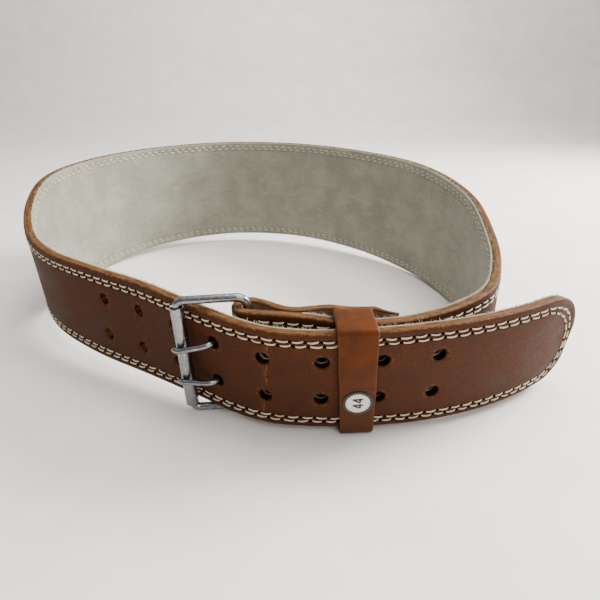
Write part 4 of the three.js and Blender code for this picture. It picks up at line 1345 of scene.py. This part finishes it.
class BELT_OT_label(bpy.types.Operator):
    """Makes the round label with its ring, ticks and a plain number"""
    bl_idname = "belt.label"
    bl_label = "Label"

    def execute(self, context):
        sizes, colours = context.scene.belt_sizes, context.scene.belt_colours
        film = printed_vinyl("printed vinyl, cream", colours.label, "#b3a88f")
        ink = printed_vinyl("printed vinyl, black", "#17130f", "#4a3a2c")
        radius, thick = LABEL_DIAMETER / 2, LABEL_THICKNESS
        sides = 48
        profile = [(0.3, thick, 0), (radius - 1.5, thick, 0), (radius - 1.45, thick + 0.03, 1),
                   (radius - 0.35, thick + 0.03, 1), (radius - 0.08, thick - 0.08, 1),
                   (radius, thick - 0.25, 1), (radius, -0.25, 1)]
        points, faces, indices = [], [], []
        for reach_out, z, _ in profile:
            for turn in 2 * math.pi * np.arange(sides) / sides:
                points.append((reach_out * math.cos(turn), reach_out * math.sin(turn), z))
        for i in range(len(profile) - 1):
            for k in range(sides):
                n = (k + 1) % sides
                faces.append((i * sides + k, i * sides + n, (i + 1) * sides + n, (i + 1) * sides + k))
                indices.append(profile[i + 1][2])
        faces.append(tuple(reversed(range(sides))))
        indices.append(0)
        faces.append(tuple((len(profile) - 1) * sides + k for k in range(sides)))
        indices.append(1)

        def raised(outline, depth=0.06):
            start = len(points)
            count = len(outline)
            points.extend((x, y, thick + depth) for x, y in outline)
            points.extend((x, y, thick - 0.05) for x, y in outline)
            faces.append(tuple(range(start, start + count)))
            faces.append(tuple(reversed(range(start + count, start + 2 * count))))
            for k in range(count):
                n = (k + 1) % count
                faces.append((start + k, start + n, start + count + n, start + count + k))
            indices.extend([1] * (count + 2))

        for i in range(sizes.ticks):
            turn = 2 * math.pi * i / sizes.ticks
            across = np.array((math.cos(turn), math.sin(turn)))
            beside = np.array((-across[1], across[0])) * 0.13
            inner = radius - (2.55 if i % 3 == 0 else 2.1)
            raised([across * inner - beside, across * (radius - 1.4) - beside,
                    across * (radius - 1.4) + beside, across * inner + beside])
        # The number 44, as two plain figures of straight strokes, turned a quarter with its foot on the left.
        height = sizes.digits * 1000
        weight = height * 0.19

        def stroke(offset, start, end):
            start, end = np.array(start) * height, np.array(end) * height
            beside = np.array((start[1] - end[1], end[0] - start[0]))
            beside *= weight / 2 / np.linalg.norm(beside)
            corners = start - beside, end - beside, end + beside, start + beside
            raised([(-y, x + offset) for x, y in corners])

        for offset in (-0.36 * height, 0.36 * height):
            stroke(offset, (0.14, -0.5), (0.14, 0.5))
            stroke(offset, (-0.28, -0.2), (0.28, -0.2))
            stroke(offset, (-0.24, -0.16), (0.12, 0.46))
        piece = outward_facing(new_object("label_disc", on_keeper(points), faces, [film, ink], indices))
        piece.data.polygons.foreach_set("use_smooth", [False] * len(piece.data.polygons))
        dress(piece, "label", "size_label")
        return {"FINISHED"}


class BELT_OT_buckle(bpy.types.Operator):
    """Makes the buckle: a wire frame, a loose roller on it and two prongs"""
    bl_idname = "belt.buckle"
    bl_label = "Buckle"

    def execute(self, context):
        colours = context.scene.belt_colours
        plate = zinc_plate("zinc-plated steel wire", colours, 1.0)
        sheet = zinc_plate("zinc-plated sheet steel", colours, 0.6)
        rough = zinc_plate("hot-dip galvanised prongs", colours, 1.6)
        route = [in_frame(0, 0, 0.2)]
        for bend, along, up, before, after in ((HINGE_BEND, 0, frame_top, (0, -1), (1, 0)),
                                               (WIRE_BEND, FRAME_REACH, frame_top, (-1, 0), (0, -1)),
                                               (WIRE_BEND, FRAME_REACH, frame_bottom, (0, 1), (-1, 0)),
                                               (HINGE_BEND, 0, frame_bottom, (1, 0), (0, 1))):
            corner, before, after = np.array((along, up)), np.array(before), np.array(after)
            for t in np.linspace(0, 1, 12):
                middle = (before + after) * 0.32 * t * (1 - t)
                spot = corner + bend * (before * (1 - t) ** 2 + middle + after * t * t)
                route.append(in_frame(spot[0], 0, spot[1]))
        route.append(in_frame(0, 0, -0.2))
        piece = wire_mesh("frame_wire", route, WIRE, plate, rounded=False)
        dress(piece, "zinc_wire", "buckle_frame")

        half = (frame_top - frame_bottom) / 2 - WIRE_BEND + ROLLER_OVERHANG
        middle = (frame_top + frame_bottom) / 2
        profile = [(ROLLER_INNER, -half + 0.3), (ROLLER_INNER + 0.12, -half + 0.04),
                   (ROLLER_OUTER - 0.15, -half), (ROLLER_OUTER - 0.02, -half + 0.2)]
        profile += [(ROLLER_OUTER, up) for up in np.linspace(-half + 0.8, half - 0.8, 40)]
        profile += [(ROLLER_OUTER - 0.02, half - 0.2), (ROLLER_OUTER - 0.15, half),
                    (ROLLER_INNER + 0.12, half - 0.04), (ROLLER_INNER, half - 0.3)]
        points, faces, sides = [], [], 40
        for reach_out, up in profile:
            for turn in 2 * math.pi * np.arange(sides) / sides:
                points.append(in_frame(FRAME_REACH + reach_out * math.cos(turn), reach_out * math.sin(turn),
                                       middle + up))
        for i in range(len(profile)):
            for k in range(sides):
                n, j = (k + 1) % sides, (i + 1) % len(profile)
                faces.append((i * sides + k, i * sides + n, j * sides + n, j * sides + k))
        piece = outward_facing(new_object("roller_tube", points, faces, [sheet]))
        dress(piece, "zinc_wire", "roller")

        eye = WIRE / 2 + PRONG_PLAY + PRONG / 2
        over = ROLLER_OUTER + PRONG_PLAY + PRONG / 2
        through = np.array((*hole_frame["out"], 0))
        for side, name, node in ((1, "upper_prong", "prong_upper"), (-1, "lower_prong", "prong_lower")):
            hole = point_at(hole_frame, 0, side * HOLE_ROWS / 2)
            inner = local(hole + through * (-STRAP - 1))
            centre = local(hole + through * (-STRAP / 2))
            outer = local(hole + through)
            spots = [(eye * math.cos(t), eye * math.sin(t)) for t in np.radians((110, 155, 200, 245, 290))]
            spots.append((eye * 0.6, -eye * 1.02))
            spots.append((inner[0] - PRONG, inner[1] - PRONG * 0.5))
            spots.append((centre[0], centre[1]))
            spots.append((outer[0] + PRONG, outer[1] + PRONG * 0.3))
            for t in np.radians(PRONG_WRAP * np.array((0, 0.5, 1))):
                spots.append((FRAME_REACH + over * math.sin(t), over * math.cos(t)))
            places = []
            for along, out in spots:
                drop = PRONG_DROPS[side] * smooth(along, outer[0], FRAME_REACH)
                places.append(in_frame(along, out, prong_heights[side] - drop))
            piece = wire_mesh(name, curve_through(places), PRONG, rough, sides=16)
            dress(piece, "zinc_wire", node)
        return {"FINISHED"}


class BELT_OT_stage(bpy.types.Operator):
    """Sets the table, the lights and the camera"""
    bl_idname = "belt.stage"
    bl_label = "Stage"

    def execute(self, context):
        colours = context.scene.belt_colours
        # A painted table top: matt, pale and faintly mottled.
        material, node = begin("painted table top")
        mottle = node("noise", node("object place"), 1000 / 60, 4, 0.55)
        base = node("mix", node("span", mottle, 0.3, 0.7), "#f3efea", colours.table)
        finish(node, {"Base Color": base, "Roughness": 0.6})
        profile = [(-3, 0), (1.4, 0), (1.7, 0.06), (1.9, 0.25), (2, 0.6), (2, 3)]
        points = [(x, y, z) for y, z in profile for x in (-4, 4)]
        faces = [(2 * i, 2 * i + 1, 2 * i + 3, 2 * i + 2) for i in range(len(profile) - 1)]
        mesh = bpy.data.meshes.new("table")
        mesh.from_pydata(points, [], faces)
        mesh.materials.append(material)
        mesh.polygons.foreach_set("use_smooth", [True] * len(mesh.polygons))
        table = bpy.data.objects.new("table", mesh)
        context.scene.collection.objects.link(table)

        # Each light's name, place, aim, size in metres, power in watts and tint.
        for name, place, aim, size, power, tint in (
                ("key", (1.05, 0.3, 0.68), (0, 0, 0.05), 0.5, 44, (1, 0.98, 0.94)),
                ("fill", (0.5, -1.25, 1.0), (0, -0.1, 0.05), 1.0, 9, (1, 0.985, 0.96)),
                ("top", (0.3, 0.05, 1.4), (0, 0, 0), 1.0, 19, (1, 0.99, 0.96)),
                ("backdrop", (0.1, 1.3, 1.3), (0, 2.0, 0.5), 1.4, 12, (1, 0.98, 0.93))):
            light = bpy.data.lights.new(name, "AREA")
            light.size = size
            light.energy = power
            light.color = tint
            lamp = bpy.data.objects.new(name, light)
            lamp.location = place
            lamp.rotation_euler = (Vector(aim) - Vector(place)).to_track_quat("-Z", "Y").to_euler()
            context.scene.collection.objects.link(lamp)
        # The room: bright above and behind, dark on the camera's side, which gives the metal its streaks.
        world = bpy.data.worlds.new("studio")
        world.use_nodes = True
        world.node_tree.nodes.clear()
        node = functools.partial(add, world.node_tree)
        _, deep, high = node("parts", node("ShaderNodeTexCoord")).node.outputs
        level = node("add", node("multiply", deep, 0.5), node("multiply", high, 0.8))
        glow = node("span", level, -0.5, 0.9, 0.06, 0.75)
        node("ShaderNodeOutputWorld", node("ShaderNodeBackground", (0.97, 0.97, 1, 1), glow))
        context.scene.world = world

        lens = bpy.data.cameras.new("camera")
        lens.lens = CAMERA_LENS
        lens.sensor_width = 36
        lens.clip_start = 0.01
        camera = bpy.data.objects.new("camera", lens)
        camera.location = [c / 1000 for c in CAMERA_PLACE]
        camera.rotation_euler = (math.radians(90 - CAMERA_PITCH), 0, 0)
        context.scene.collection.objects.link(camera)
        context.scene.camera = camera
        return {"FINISHED"}


class BELT_PT_panel(bpy.types.Panel):
    """Lists the belt's pieces, sizes and colours"""
    bl_idname = "BELT_PT_panel"
    bl_label = "Weightlifting belt"
    bl_space_type = "VIEW_3D"
    bl_region_type = "UI"
    bl_category = "Belt"

    def draw(self, context):
        for operator in OPERATORS:
            self.layout.operator(operator.bl_idname)
        for group in (context.scene.belt_sizes, context.scene.belt_colours):
            for name in group.__annotations__:
                self.layout.prop(group, name)


OPERATORS = [BELT_OT_stage, BELT_OT_strap, BELT_OT_lining, BELT_OT_keeper, BELT_OT_label, BELT_OT_buckle,
             BELT_OT_stitches, BELT_OT_fringe]
CLASSES = [BeltSizes, BeltColours, *OPERATORS, BELT_PT_panel]


def register():
    for kind in CLASSES:
        bpy.utils.register_class(kind)
    bpy.types.Scene.belt_sizes = bpy.props.PointerProperty(type=BeltSizes)
    bpy.types.Scene.belt_colours = bpy.props.PointerProperty(type=BeltColours)


def unregister():
    del bpy.types.Scene.belt_colours
    del bpy.types.Scene.belt_sizes
    for kind in reversed(CLASSES):
        bpy.utils.unregister_class(kind)


def main():
    register()
    bpy.ops.belt.stage()
    bpy.ops.belt.strap()
    bpy.ops.belt.lining()
    bpy.ops.belt.keeper()
    bpy.ops.belt.label()
    bpy.ops.belt.buckle()
    bpy.ops.belt.stitches()
    bpy.ops.belt.fringe()


if __name__ == "__main__":
    main()
